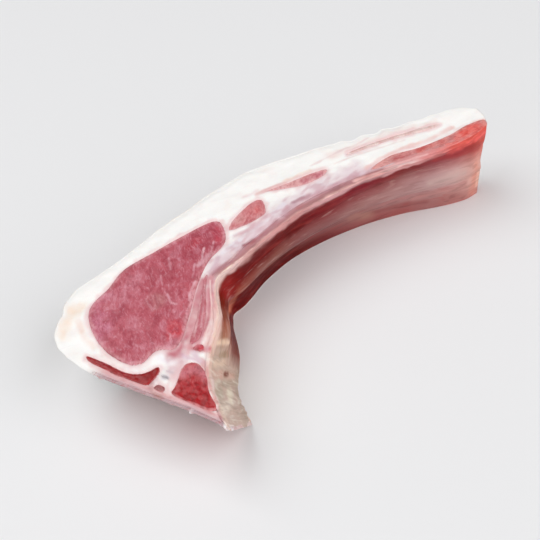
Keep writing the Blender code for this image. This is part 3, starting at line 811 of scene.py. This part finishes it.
# ---- marks on the chest wall ----
# Heights on the wall are shares of the slice, counted down from the upper cut face. WALL_LIGHT is the
# share of the light that the wall gets.
WALL_LIGHT, WALL_HEIGHT = 0.92, 21.0
WALL_TOP = [
    (-2, 0xC8AC9E), (14, 0xC4AA9A), (18, 0xA67664), (23, 0x925448), (27, 0x7C2E24),
    (31, 0x8C2E2A), (34, 0x862422), (40, 0x6C1818), (50, 0x6C1C1E), (60, 0x701C1E), (70, 0x7E282C),
    (80, 0x8A323A), (90, 0x843232), (98, 0x8C3A40), (104, 0x9E4044), (109, 0xA03834), (114, 0xC84E42),
]
# The wall below the rib, by plan x: dark meat, and at the neck, from about x 17 to 22, its darkest reds
# are painted shade.
WALL_FOOT_MEAT_AND_SHADE = [
    (-2, 0xC0A89A), (12, 0xC2A698), (17, 0x7E3E32), (22, 0x641812), (30, 0x680806), (36, 0x680604),
    (42, 0x601812), (60, 0x5E1C18), (70, 0x783637), (78, 0x945050), (90, 0xA45E5C), (98, 0xAA7472),
    (104, 0xB27672), (114, 0xC08882),
]

# The rib's band as it shows: plan x, how far down its middle lies, half its width, and its colour.
RIB_BAND = [
    (15, 0.14, 0.14, 0xC29A84), (18, 0.22, 0.22, 0xB07A64), (20, 0.34, 0.24, 0xAA6E5A),
    (24, 0.5, 0.18, 0xA25C4B), (27, 0.66, 0.16, 0xAC5F4D), (29.5, 0.77, 0.16, 0xC4725C),
    (32, 0.7, 0.15, 0xAC6250), (35, 0.58, 0.14, 0xA0584A), (39, 0.54, 0.12, 0x925046),
    (45, 0.56, 0.17, 0x8C564E), (52, 0.6, 0.2, 0x8A564D), (60, 0.62, 0.23, 0x8A5654),
    (70, 0.61, 0.28, 0x925F5E), (80, 0.6, 0.36, 0xA57572), (90, 0.54, 0.34, 0xB48886),
    (98, 0.51, 0.31, 0xC49E9C), (104, 0.52, 0.31, 0xD0AAA5), (110, 0.57, 0.35, 0xD8A49A),
]

# The pale skin along its upper edge: plan x, how far down it reaches, and its colour.
UPPER_EDGE = [
    (0, 0.08, 0xD8BCAE), (13, 0.1, 0xE4C0B0), (18, 0.18, 0xF0CCC0), (22, 0.27, 0xF6D2C8),
    (25, 0.31, 0xFAD6CC), (28, 0.29, 0xFAD8CE), (31, 0.23, 0xFAD6CE), (34, 0.15, 0xFAD6D0),
    (38, 0.2, 0xF6CCC8), (43, 0.22, 0xE2B0AA), (46, 0.18, 0xE0AAA6), (52, 0.17, 0xDEA4A2),
    (60, 0.15, 0xD69A98), (70, 0.17, 0xEAB6B8), (80, 0.1, 0xDAA8A8), (90, 0.08, 0xDCA2A2),
    (98, 0.07, 0xC67C7A),
]
WALL_HAZE = 0.012  # light that the wet skin adds
WALL_MARKS = [
    # sinew at the neck of the bone
    (0xE8D8C8, 0.75, 1.2, 1.4, 1.6, 2.2, 7, 3.4, 12),
    (0xE2D6C0, 0.8, 1.9, 3.8, 11, 5.6, 14.6),
    (0xB4A692, 0.7, 1.6, 3.4, 2.4, 5, 8),
    (0xA89684, 0.6, 1.4, 6.4, 9, 7.6, 15, 8.4, 18.6),
    (0xDACEBC, 0.6, 1, 5.4, 2.6, 6.8, 7),
    (0xE8CECC, 0.6, 1.2, 3, 0.6, 6.6, 1.6),
    (0xD0A494, 0.6, 1.6, 7.4, 3, 8.6, 9, 10.2, 17),
    (0x7A4234, 1, 1.1, 9, 10.8, 9.5, 12.4),
    (0xDEC0AA, 0.7, 1.3, 9.8, 3, 12, 9.6),
    (0x9A7C5E, 0.6, 1.5, 13, 6.4, 14.4, 10.6),
    (0xECCEB6, 0.75, 1.2, 15.2, 2.2, 16.6, 6, 17.6, 9.6),
    (0xCEA092, 0.5, 1.2, 15.4, 12.4, 17.6, 12.6),
    (0xAC9C8E, 0.6, 2.4, 0, 18.4, 6, 19.6, 12, 20),
    # cream skin over the neck of the rib
    (0xF4CEC4, 0.6, 1, 20.8, 0.6, 22.4, 3, 24, 5.6),
    (0x884A3C, 0.6, 1.6, 23.4, 7.4, 25.6, 9.6),
    (0x74261C, 0.7, 2, 26.4, 9, 28.6, 11),
    # red meat above and below the rib, and a painted highlight along it
    (0x96282A, 0.7, 2.2, 30.4, 9, 33.6, 6.6),
    (0x660000, 0.9, 2.4, 21, 14, 24.6, 18, 30, 20.4, 34, 18, 39, 16.8),
    (0x58100C, 0.5, 2.2, 46, 16.6, 60, 17.4),
    (0x78342A, 0.5, 1.6, 48, 14.8, 54, 15.6),
    (0x560E0E, 0.5, 2, 57, 8, 62, 7.4),
    (0x861E2A, 0.6, 1.8, 76, 3, 83, 2.4),
    (0x70161C, 0.6, 1.6, 64, 5.6, 70, 4),
    # a painted highlight along the middle of the rib
    (0xA0706A, 0.5, 1, 43, 11.9, 48, 11.8, 58, 12.3),
    # the pale end of the rib
    (0xBA7E7C, 0.5, 1.5, 86, 14, 94, 14.6, 102, 14.4, 108, 14.6),
    (0xC88E88, 0.5, 1.1, 94, 16, 100, 15.6, 108, 16),
    (0x965452, 0.5, 1.3, 84, 17.2, 90, 17.4, 97, 17.8),
    (0xB28074, 0.6, 2.6, 78.4, 15.6, 83, 18.4),
    (0xCCAEA8, 0.5, 1.6, 97, 9.6, 106, 9.8),
    (0xDE9482, 0.7, 2.6, 111.6, 9, 112.4, 14, 112, 19),
    (0xEEBEAC, 0.7, 1, 113.4, 13.6, 113.4, 18),
    (0xA23C3E, 0.6, 1.3, 98, 1.8, 103, 2.6, 108, 3.8, 112, 4.6),
    (0xEE6862, 0.9, 1.9, 102.6, 0, 108, 0.4, 113.6, 1.4),
]


def paint_wall(x, down):
    """The chest wall by plan x and by the share of the height below the upper cut face: dark meat above
    and below the rib's band, with painted shade low on the wall at the neck, a cream skin along the
    upper edge, and the marks, among them a painted highlight along the rib."""
    spots = np.column_stack([x, down * WALL_HEIGHT])
    wobble = layers(spots, WALL_LUMPS)
    tint = blend(ramp(x, *WALL_TOP), ramp(x, *WALL_FOOT_MEAT_AND_SHADE), rise(down + wobble, 0.5, 0.72))
    at, middle, half, _ = zip(*RIB_BAND)
    away = np.abs(down + wobble - np.interp(x, at, middle)) / np.interp(x, at, half)
    tint = blend(tint, ramp(x, *RIB_BAND), fade(away, 0.3, 1.25) * rise(x, 14, 18))
    at, reach, _ = zip(*UPPER_EDGE)
    ragged = down + 1.2 * wobble + 0.02 * lumps(spots, (1.4, 2), 53)
    edge = fade(ragged / np.interp(x, at, reach), 0.6, 1.25) * fade(x, 98, 103)
    tint = blend(tint, ramp(x, *UPPER_EDGE), 0.95 * edge)
    return np.clip((lay(tint, spots, WALL_MARKS) - WALL_HAZE) / WALL_LIGHT, 0.001, 0.92)


# ---- bars along a wall ----
CAP_RINGS = np.array([0.985, 0.93, 0.84, 0.72, 0.58, 0.43, 0.28, 0.14])
STATION = 0.45  # millimetres between a bar's sections
END_DIVE, WALL_OVERLAP = 0.5, 1.0  # how deep and how far the ligament's end goes in under the meat
END_DIP, END_DIP_REACH, START_DIP_REACH = 0.04, 0.6, 0.7  # how both are drawn in up and down there
MEAT_CELLS, SLAB_CELLS, RIB_POINTS = (8, 12, 8, 34), (6, 16, 6, 54), 72  # round a section

# The meat sinks in on the wall by a quarter near the neck and the end, and fully in between.
SHALLOW, HOLLOW_STARTS, HOLLOW_ENDS = 0.25, (40, 52), (122, 132)
MARROW_COLOURS = [(0.5, 0x962C28), (0.68, 0xB0463E), (0.8, 0xECCEBE), (1, 0xE8C4B4)]  # by core
RIB_RISE_X = (13, 20)  # where the rib comes out of the neck

# Chips of bone along the saw cut: how far along, how high, how far out, half width and half height.
CHIPS = [
    (39.8, 0.975, 0.7, 0.4, 0.03), (39.2, 0.93, 0.25, 0.8, 0.04), (50.4, 0.94, 1.0, 0.8, 0.07),
    (48.6, 0.9, 0.5, 1.1, 0.05), (33.5, 0.95, 0.3, 0.8, 0.05), (12, 0.96, 0.5, 0.7, 0.04),
]


def soft_box(back, low, high, cells):
    """The loops of a soft box behind the wall, as deep as its back and from one height to another:
    straight stretches of cells between the corners, and then twice the mean of every point and its
    neighbours."""
    front, back, low, high = np.broadcast_arrays(0.0, back, low, high)
    corners = [(front, low), (back, low), (back, high), (front, high)]
    loops = []
    for start, end, count in zip(corners, [*corners[1:], corners[0]], cells):
        share = np.arange(count) / count
        stretch = [a[:, None] * (1 - share) + b[:, None] * share for a, b in zip(start, end)]
        loops.append(np.stack(stretch, axis=-1))
    ring = np.concatenate(loops, axis=1)
    for _ in range(2):
        ring = (np.roll(ring, 1, axis=1) + 2 * ring + np.roll(ring, -1, axis=1)) / 4
    return ring


def add_bar(name, sides, run, section, relief, paint, finish, overlap=0.0):
    """Build a closed bar along the first of the sides: at each station its section's loop of (depth,
    share), and rings that shrink to the middle at both ends. paint gives its colour from its marks,
    by name. A bar with an overlap dips in under the next one, which is drawn in a little there."""
    points, inward = side_frame(*sides)
    first, last = np.interp(run, points[:, 0], np.arange(len(points)))
    at = np.linspace(first, last + overlap / SIDE_STEP, int((last - first) * SIDE_STEP / STATION) + 2)
    caps, count = len(CAP_RINGS), len(at)
    station = np.concatenate([np.zeros(caps, int), np.arange(count), np.full(caps, count - 1)])
    core = np.concatenate([CAP_RINGS[::-1], np.ones(count), CAP_RINGS])[:, None]
    spot, into = (read_off(line, np.arange(len(points)), at)[station] for line in (points, inward))
    loops = section(spot[:, 0])
    middle = loops.mean(axis=1, keepdims=True)
    loops = middle + (loops - middle) * core[..., None]
    depth, share = np.concatenate([loops, middle[:, :1]], axis=1).transpose(2, 0, 1)
    columns = (spot[:, :1], at[station, None] * SIDE_STEP, core)
    x, along, core = (np.broadcast_to(column, depth.shape) for column in columns)
    depth = depth + relief(along, depth, share) * core**2
    if overlap:
        under = rise(x, run[1] - END_DIP_REACH, run[1] + END_DIP_REACH)
        depth = depth + END_DIVE * under
    else:
        under = fade(x, run[0], run[0] + START_DIP_REACH) * (run[0] > 0)
    share = 0.5 + (share - 0.5) * (1 - END_DIP * under)
    plan = spot[:, None] + into[:, None] * depth[..., None]

    def skin(field):
        """A field's values on the rings, and then in the middle of both ends."""
        return np.concatenate([field[:, :-1].reshape(-1, *field.shape[2:]), field[[0, -1], -1]])

    fields = {"x": x, "depth": depth, "share": share, "along": along, "core": core}
    marks = {key: skin(field) for key, field in fields.items()}
    marks["core"][-2:] = 0
    grain = np.column_stack([marks["along"], marks["depth"], marks["share"] * thickness(marks["x"])])
    rings = skin(place(plan[..., 0], plan[..., 1], share))
    faces = tube_skin(len(station), depth.shape[1] - 1)
    add_piece(name, finish, rings, faces, paint(marks, skin(plan)), grain)


def rib_section(x):
    """A flattened round loop that stands out of the chest wall a little, less at the neck."""
    turn = np.linspace(0, 2 * np.pi, RIB_POINTS, endpoint=False)
    waves = np.cos(turn), np.sin(turn)
    inward, upward = (np.sign(wave) * np.abs(wave) ** RIB_SQUARENESS for wave in waves)
    half = (RIB_DEPTH + RIB_BULGE * rise(x, *RIB_RISE_X)[:, None]) / 2
    depth = RIB_DEPTH - half + half * inward
    share = rib_middle(x)[:, None] + rib_half_width(x)[:, None] * upward
    return np.stack([depth, share], axis=-1)


def front_only(depth):
    """1 on the wall and 0 behind it."""
    return fade(depth, 0.1, 1.0)


def ridges(along, share, depth, size, seed):
    """Soft lumps of one size along a wall, one up it, as a share, and one into it."""
    return lumps(np.stack([along, share, depth], axis=-1), size, seed)


def torn_edge(along, share):
    """Small nicks along the upper edge of the wall."""
    return 0.3 * rise(share, 0.9, 1) * (lumps(along[..., None], 2.4, 61) + 0.6)


def meat_relief_on_wall(along, depth, share):
    """The meat between the ribs sinks in on the wall, by a sine over each half of its height, less at
    the neck and the end, with low ridges."""
    sunk = SHALLOW + (1 - SHALLOW) * between(along, HOLLOW_STARTS, HOLLOW_ENDS)
    sunk = sunk * WALL_HOLLOW * np.abs(np.sin(2 * np.pi * share))
    low = 0.15 * ridges(along, share, depth, (9, 1 / 12, 4), 6)
    return front_only(depth) * (sunk + low + torn_edge(along, share))


def rib_relief(along, depth, share):
    """Low ridges along the bone."""
    return 0.1 * ridges(along, share, depth, (10, 1 / 12, 3), 7)


def sinew_relief(along, depth, share):
    """Folds in the sinew, which slant down the wall."""
    folds = 0.28 * (ridges(along + 3 * share, share, depth, (1.8, 1 / 3, 3), 8) + 0.5)
    return front_only(depth) * (folds + torn_edge(along, share))


def chips_at(along, share):
    """How far the chips of bone along the saw cut stand out: a sum of small bells."""
    return sum(
        out * np.exp(-(((along - at) / wide) ** 2) - ((share - up) / tall) ** 2)
        for at, up, out, wide, tall in CHIPS
    )


def sawn_relief(along, depth, share):
    """Fine steps from the saw, and the chips of bone."""
    steps = 0.07 * (ridges(along, share, depth, (0.9, 1 / 2, 1), 9) + 1)
    return front_only(depth) * (steps - chips_at(along, share))


def paint_chest(marks, plan):
    """Any bar of the chest wall: the cut face's colours above and below, and the wall's between."""
    share = marks["share"]
    wall = paint_wall(marks["x"], 1 - share)
    on_wall = rise(share, 0.002, 0.015) * fade(share, 0.985, 0.998)
    return blend(paint_cut(plan), wall, on_wall * fade(marks["depth"], 0.8, 1.2))


def paint_rib(marks, plan):
    """The rib: the wall's colours, and at the sawn end red marrow in a pale ring."""
    end = rise(marks["x"], 100, 104) * fade(marks["core"], 0.97, 0.999)
    return blend(paint_wall(marks["x"], 1 - marks["share"]), ramp(marks["core"], *MARROW_COLOURS), end)


def paint_chine(marks, plan):
    """Pale sawn bone, with red spongy bone inside the body of the vertebra, and white chips."""
    x, share, along = marks["x"], marks["share"], marks["along"]
    spots = np.column_stack([along, share * thickness(x)])
    tint = blend(shade(0xE6CAC6), shade(0xD6B0AE), rise(lumps(spots, (2, 6), 16), -0.2, 0.6))
    body = between(x, (-6.5, -4.8), (-2.6, -2.1)) * between(share, (0.12, 0.2), (0.8, 0.88))
    tint = blend(tint, shade(0xD08480), 0.7 * body * rise(lumps(spots, 2.5, 17), -0.7, -0.1))
    tint = blend(tint, shade(0xF4ECF0), rise(along, 47.6, 49.4) * rise(share, 0.8, 0.9))
    tint = blend(tint, paint_cut(plan), rise(share, 0.98, 0.998))
    return blend(tint, shade(0xFAF4F4), rise(chips_at(along, share), 0.15, 0.5))


# ---- the fat ----
SWELL_IN = 0.35  # how far inside the back line its soft swell starts
NOTCH, NOTCH_SIZE = 1.3, (2.8, 2.8, 16)  # how deep and how large the notches in the back are
BACK_DIP, BACK_DIP_REACH = 0.5, 0.9  # how far the cut faces sink along the back


def outward(line):
    """The unit normals of a line that has the meat on its left."""
    along = np.gradient(line, axis=0)
    along /= np.linalg.norm(along, axis=1)[:, None]
    return np.stack([along[:, 1], -along[:, 0]], axis=1)


def fat_sides():
    """The four sides of the fat on the plan. The near one is tucked in behind the chest wall, and
    the tail one stands out a little in its middle."""
    count = FAT_SIDE_POINTS
    chest, inward = side_frame(CHEST_SIDE, SAWN_SIDE, TAIL_SIDE)
    near = evenly(chest + inward * FAT_TUCK, count["chest"])
    far = evenly(curve_through(BACK_SIDE), count["back"])[::-1]
    sawn, tail = curve_through(SAWN_SIDE)[::-1], curve_through(TAIL_SIDE)
    sawn = evenly(np.vstack([near[:1], sawn[sawn[:, 1] > near[0, 1] + 0.3]]), count["sawn"])
    tail = evenly(np.vstack([near[-1:], tail[tail[:, 1] > near[-1, 1] + 0.3]]), count["tail"])
    bulge = END_BULGE * np.sin(np.pi * np.linspace(0, 1, len(tail)))[:, None]
    return near, tail + outward(tail) * bulge, far, sawn


def back_swell(back, height):
    """How far the soft back swells out at a point of the back line and a height: its own curve, with
    slow lumps, and notches near both ends of its upper edge."""
    edge = grain_of(back, height)
    swell = np.interp(height, *curve_through(BACK_SWELL, step=0.01).T) - SWELL_IN
    ends = rise(back[:, 0], 74, 88) + 0.6 * fade(back[:, 0], 0, 12)
    notches = NOTCH * ends * rise(height, 0.5, 0.9) * (lumps(edge, NOTCH_SIZE, 26) - 0.1)
    return swell + layers(edge, BACK_LUMPS) + notches


def sink_and_blush(plan, pocket, tint):
    """Deepen the pockets to full under every piece that runs through, and redden the fat round it."""
    for name in THROUGH:
        ring = outline_of(name)
        near = np.all((plan > ring.min(axis=0) - 2) & (plan < ring.max(axis=0) + 2), axis=1)
        spots = plan[near]
        inside = depth_inside(spots, ring)
        pocket[near] = np.maximum(pocket[near], rise(inside, *POCKET_EDGE))
        inland = rise(distance_to(spots, CHEST_LINE), *BLUSH_FROM_CHEST)
        blush = BLUSH * fade(0.5 * lumps(spots, 1.5, 42) - inside, 0, BLUSH_REACH)
        blush = blush * (BLUSH_AT_CHEST + (1 - BLUSH_AT_CHEST) * inland)
        tint[near] = blend(tint[near], shade(0xECBEC0), blush)


def add_fat(finish):
    """Build the fat: the patch between its four sides, carried down by the lean and swollen along
    the soft back, with shallow pockets under the pieces that run through it."""
    share, quads = block_skin(FAT_CELLS)
    along, height = share[:, 0], denser_at_ends(share[:, 2])
    near, tail, far, sawn = fat_sides()
    plan = patch(near, tail, far, sawn, along, share[:, 1])
    beside = fade(plan[:, 1], *STRIP_END_Y)
    plan[:, 0] += SAWN_TUCK * beside * fade(distance_to(plan, SAWN_LINE), 0, SAWN_TUCK_REACH)
    joint = np.exp(-(((plan - NECK_JOINT) / NECK_JOINT_REACH) ** 2).sum(axis=1))
    pocket = rise(band_depth(plan[:, 0]) - distance_to(plan, CHEST_LINE), *POCKET_EDGE) * (1 - joint)
    under_strip = beside * fade(distance_to(plan, SAWN_LINE), SAWN_POCKET, CHINE_DEPTH)
    pocket, tint = np.maximum(pocket, under_strip), paint_cut(plan)
    sink_and_blush(plan, pocket, tint)
    from_back, rounded = distance_to(plan, BACK_LINE), np.sin(np.pi * along) ** 0.5
    face = layers(plan, FAT_LUMPS) * rise(from_back, 0, 2) + NECK_JOINT_RISE * joint
    face = face - BACK_DIP * rounded * np.exp(-from_back / BACK_DIP_REACH) - POCKET_DEPTH * pocket
    lift = np.select([height == 1, height == 0], [face, np.maximum(-face, 0)], 0)
    lines = far, outward(far[::-1])[::-1]
    back, out = (read_off(line, np.linspace(0, 1, len(far)), along) for line in lines)
    swell = back_swell(back, height) * rounded * fade(from_back, 0, BACK_SOFT)
    spots, skin = grain_of(plan, height), (share[:, 1] == 1) * (height < 1)
    cream = 0.5 * rise(lumps(spots, (20, 20, 9), 29), -0.2, 0.7)
    tint = blend(tint, shade(0xFAECDA), cream * skin)
    tint = blend(tint, shade(0xF0D0C8), 0.4 * rise(layers(spots, STREAK_LUMPS), 0, 1.5) * skin)
    plan = plan + out * swell[:, None]
    add_piece("fat", finish, place(*plan.T, height, lift), [quads], tint, spots)


# ---- the add-on ----
class CutletLooks(bpy.types.PropertyGroup):
    """How wet and how marked the cutlet is."""

    wet: FloatProperty(
        name="Wet film", description="Weight of the clear film on the cut face",
        default=0.12, min=0, max=1,
    )
    web: FloatProperty(
        name="Pale fibres", description="How clearly the pale fibres show", default=0.5, min=0, max=1,
    )
    cloud: FloatProperty(
        name="Dark fibres", description="How clearly the dark fibres show", default=0.55, min=0, max=1,
    )


class CutletStage(bpy.types.PropertyGroup):
    """The floor, the light and the camera."""

    floor: FloatVectorProperty(
        name="Floor", description="Colour of the floor", default=(0.84, 0.84, 0.85), subtype="COLOR",
    )
    key: FloatProperty(
        name="Key light", description="Power of the soft light above and behind",
        default=9.4, unit="POWER",
    )
    fill: FloatProperty(
        name="Fill light", description="Power of the soft light in front", default=14, unit="POWER",
    )
    side: FloatProperty(
        name="Side light", description="Power of the soft light on the left", default=3, unit="POWER",
    )
    sky: FloatProperty(
        name="Sky", description="Strength of the even light from all round", default=0.2, min=0,
    )
    lens: FloatProperty(name="Lens", description="Focal length", default=94.4, unit="CAMERA")


class CUTLET_OT_fat(bpy.types.Operator):
    """Build the fat that holds the slice together"""

    bl_idname = "cutlet.fat"
    bl_label = "Fat"

    def execute(self, context):
        add_fat(fat_finish("waxy_fat", context.scene.cutlet_looks))
        return {"FINISHED"}


class CUTLET_OT_muscles(bpy.types.Operator):
    """Build the muscles that run through the slice"""

    bl_idname = "cutlet.muscles"
    bl_label = "Muscles"

    def execute(self, context):
        look = context.scene.cutlet_looks
        rosy = meat_finish("rosy_meat", 0xE4A8B8, 0x96283C, 0.95, look)
        pink = meat_finish("pink_meat", 0xEEC0C0, 0xB45058, 0.6, look)
        silky = meat_finish("silky_meat", 0xF4E2DE, 0xD49E9C, 0.6, look)
        coral = meat_finish("coral_meat", 0xF2B0A8, 0xB03836, -0.45, look)
        for name, finish, slot in (
            ("eye_muscle", rosy, "rosy_meat"), ("rib_side_muscle", pink, "pink_meat"),
            ("oval_muscle", pink, "pink_meat"), ("strap_muscle", pink, "pink_meat"),
            ("tail_muscle", coral, "coral_meat"), ("cap_streak", silky, "pink_meat"),
        ):
            add_through(name, MEAT_LUMPS, finish, 0xE6AEB2)
        return {"FINISHED"}


class CUTLET_OT_bones(bpy.types.Operator):
    """Build the red spongy bones that show at the cut"""

    bl_idname = "cutlet.bones"
    bl_label = "Spongy bones"

    def execute(self, context):
        finish = bone_finish("spongy_bone", 0xDC7874, 0x74060C, context.scene.cutlet_looks)
        for name in ("vertebra", "feather_bone", "lamina_bone", "rib_head"):
            add_through(name, BONE_LUMPS, finish, 0xE8A0A2)
        return {"FINISHED"}


class CUTLET_OT_walls(bpy.types.Operator):
    """Build the rib, the meat beside it, the sinew and the strip along the saw cut"""

    bl_idname = "cutlet.walls"
    bl_label = "Walls"

    def execute(self, context):
        streaks, folds = (8, 2, 1.5), (2, 2, 7)
        dark = wall_finish("dark_wall", 0xB24640, 0x460202, streaks, 0.25)
        rib = wall_finish("rib_skin", 0xDEB8B0, 0x7C3430, streaks, 0.22)
        sinew = wall_finish("sinew", 0xFAF6E8, 0x967A64, folds, 0.34)
        sawn = bone_finish("sawn_bone", 0xF6DED6, 0xB8605C, context.scene.cutlet_looks)
        chest = (CHEST_SIDE, SAWN_SIDE, TAIL_SIDE)
        run = (LIGAMENT_END_X - WALL_OVERLAP, TAIL_SIDE[0][0])
        add_bar("rib_bone", chest, run, rib_section, rib_relief, paint_rib, rib)
        for name, section in (
            ("upper_rib_meat", lambda x: soft_box(band_depth(x), rib_middle(x), 1.0, MEAT_CELLS)),
            ("lower_rib_meat", lambda x: soft_box(band_depth(x), 0.0, rib_middle(x), MEAT_CELLS)),
        ):
            add_bar(name, chest, run, section, meat_relief_on_wall, paint_chest, dark)
        for name, sides, run, depth, relief, paint, finish, slot, overlap in (
            ("chest_ligament", chest, (CHEST_SIDE[0][0], LIGAMENT_END_X), LIGAMENT_DEPTH,
             sinew_relief, paint_chest, sinew, "ligament", WALL_OVERLAP),
            ("chine_strip", (SAWN_SIDE, BACK_SIDE, CHEST_SIDE), CHINE_STRIP_X, CHINE_DEPTH,
             sawn_relief, paint_chine, sawn, "bone_edge", 0.0),
        ):
            section = lambda x: soft_box(np.full(len(x), depth), 0.0, 1.0, SLAB_CELLS)
            add_bar(name, sides, run, section, relief, paint, finish, overlap)
        return {"FINISHED"}


class CUTLET_OT_stage(bpy.types.Operator):
    """Set the pale floor, the soft light and the camera"""

    bl_idname = "cutlet.stage"
    bl_label = "Floor, light and camera"

    def execute(self, context):
        stage = context.scene.cutlet_stage
        add_floor(stage)
        add_lights(context.scene, stage)
        add_camera(context.scene, stage)
        return {"FINISHED"}


CAMERA_AT = (-0.17122, -0.21058, 0.28349)
CAMERA_AIM = (-0.00698, 0.0013, 0.01)
CAMERA_ROLL = -11.77  # degrees
FLOOR_SIZE = 6.0


def add_floor(stage):
    """A plain pale floor, far larger than the view."""
    mesh = bpy.data.meshes.new("floor")
    half = FLOOR_SIZE / 2
    corners = [(-half, -half, 0), (half, -half, 0), (half, half, 0), (-half, half, 0)]
    mesh.from_pydata(corners, [], [(0, 1, 2, 3)])
    paint = bpy.data.materials.new("pale_floor")
    paint.use_nodes = True
    shader = paint.node_tree.nodes["Principled BSDF"]
    shader.inputs["Base Color"].default_value = (*stage.floor, 1)
    shader.inputs["Roughness"].default_value = 0.6
    mesh.materials.append(paint)
    floor = put("floor", mesh)


def add_lights(scene, stage):
    """Three large soft lights, above and behind, in front and on the left, and even light all round."""
    for name, at, size, power in (
        ("key", (-0.25, 0.6, 1.1), 1.2, stage.key), ("fill", (0.3, -1.05, 0.8), 1.5, stage.fill),
        ("side", (-1.1, -0.2, 0.7), 1.2, stage.side),
    ):
        lamp = bpy.data.lights.new(name, "AREA")
        lamp.energy = power
        lamp.size = size
        item = put(name, lamp)
        item.location = at
        item.rotation_euler = (-Vector(at)).to_track_quat("-Z", "Y").to_euler()
    world = bpy.data.worlds.new("soft_sky")
    world.use_nodes = True
    sky = world.node_tree.nodes["Background"]
    sky.inputs["Color"].default_value = (1, 1, 1, 1)
    sky.inputs["Strength"].default_value = stage.sky
    scene.world = world
    scene.view_settings.view_transform = "Standard"


def add_camera(scene, stage):
    """The camera looks from its place to its aim and leans a little to one side."""
    camera = put("camera", bpy.data.cameras.new("camera"))
    camera.data.lens = stage.lens
    camera.data.clip_start = 0.01
    camera.location = CAMERA_AT
    level = (Vector(CAMERA_AIM) - Vector(CAMERA_AT)).to_track_quat("-Z", "Y")
    camera.rotation_euler = (level @ Quaternion((0, 0, 1), np.radians(CAMERA_ROLL))).to_euler()
    scene.camera = camera


class CUTLET_PT_panel(bpy.types.Panel):
    """The sidebar panel that lists every step"""

    bl_label = "Lamb cutlet"
    bl_space_type = "VIEW_3D"
    bl_region_type = "UI"
    bl_category = "Cutlet"

    def draw(self, context):
        for group in (context.scene.cutlet_looks, context.scene.cutlet_stage):
            for prop in group.__annotations__:
                self.layout.prop(group, prop)
        for operator in OPERATORS:
            self.layout.operator(operator.bl_idname)


OPERATORS = (CUTLET_OT_fat, CUTLET_OT_muscles, CUTLET_OT_bones, CUTLET_OT_walls, CUTLET_OT_stage)
CLASSES = (CutletLooks, CutletStage, *OPERATORS, CUTLET_PT_panel)


def register():
    """Make the classes and the settings known."""
    for each in CLASSES:
        bpy.utils.register_class(each)
    bpy.types.Scene.cutlet_looks = PointerProperty(type=CutletLooks)
    bpy.types.Scene.cutlet_stage = PointerProperty(type=CutletStage)


def unregister():
    """Take them away again."""
    del bpy.types.Scene.cutlet_stage
    del bpy.types.Scene.cutlet_looks
    for each in reversed(CLASSES):
        bpy.utils.unregister_class(each)


def main():
    """Build everything in order."""
    register()
    bpy.ops.cutlet.fat()
    bpy.ops.cutlet.muscles()
    bpy.ops.cutlet.bones()
    bpy.ops.cutlet.walls()
    bpy.ops.cutlet.stage()
    bpy.context.view_layer.update()


if __name__ == "__main__":
    main()
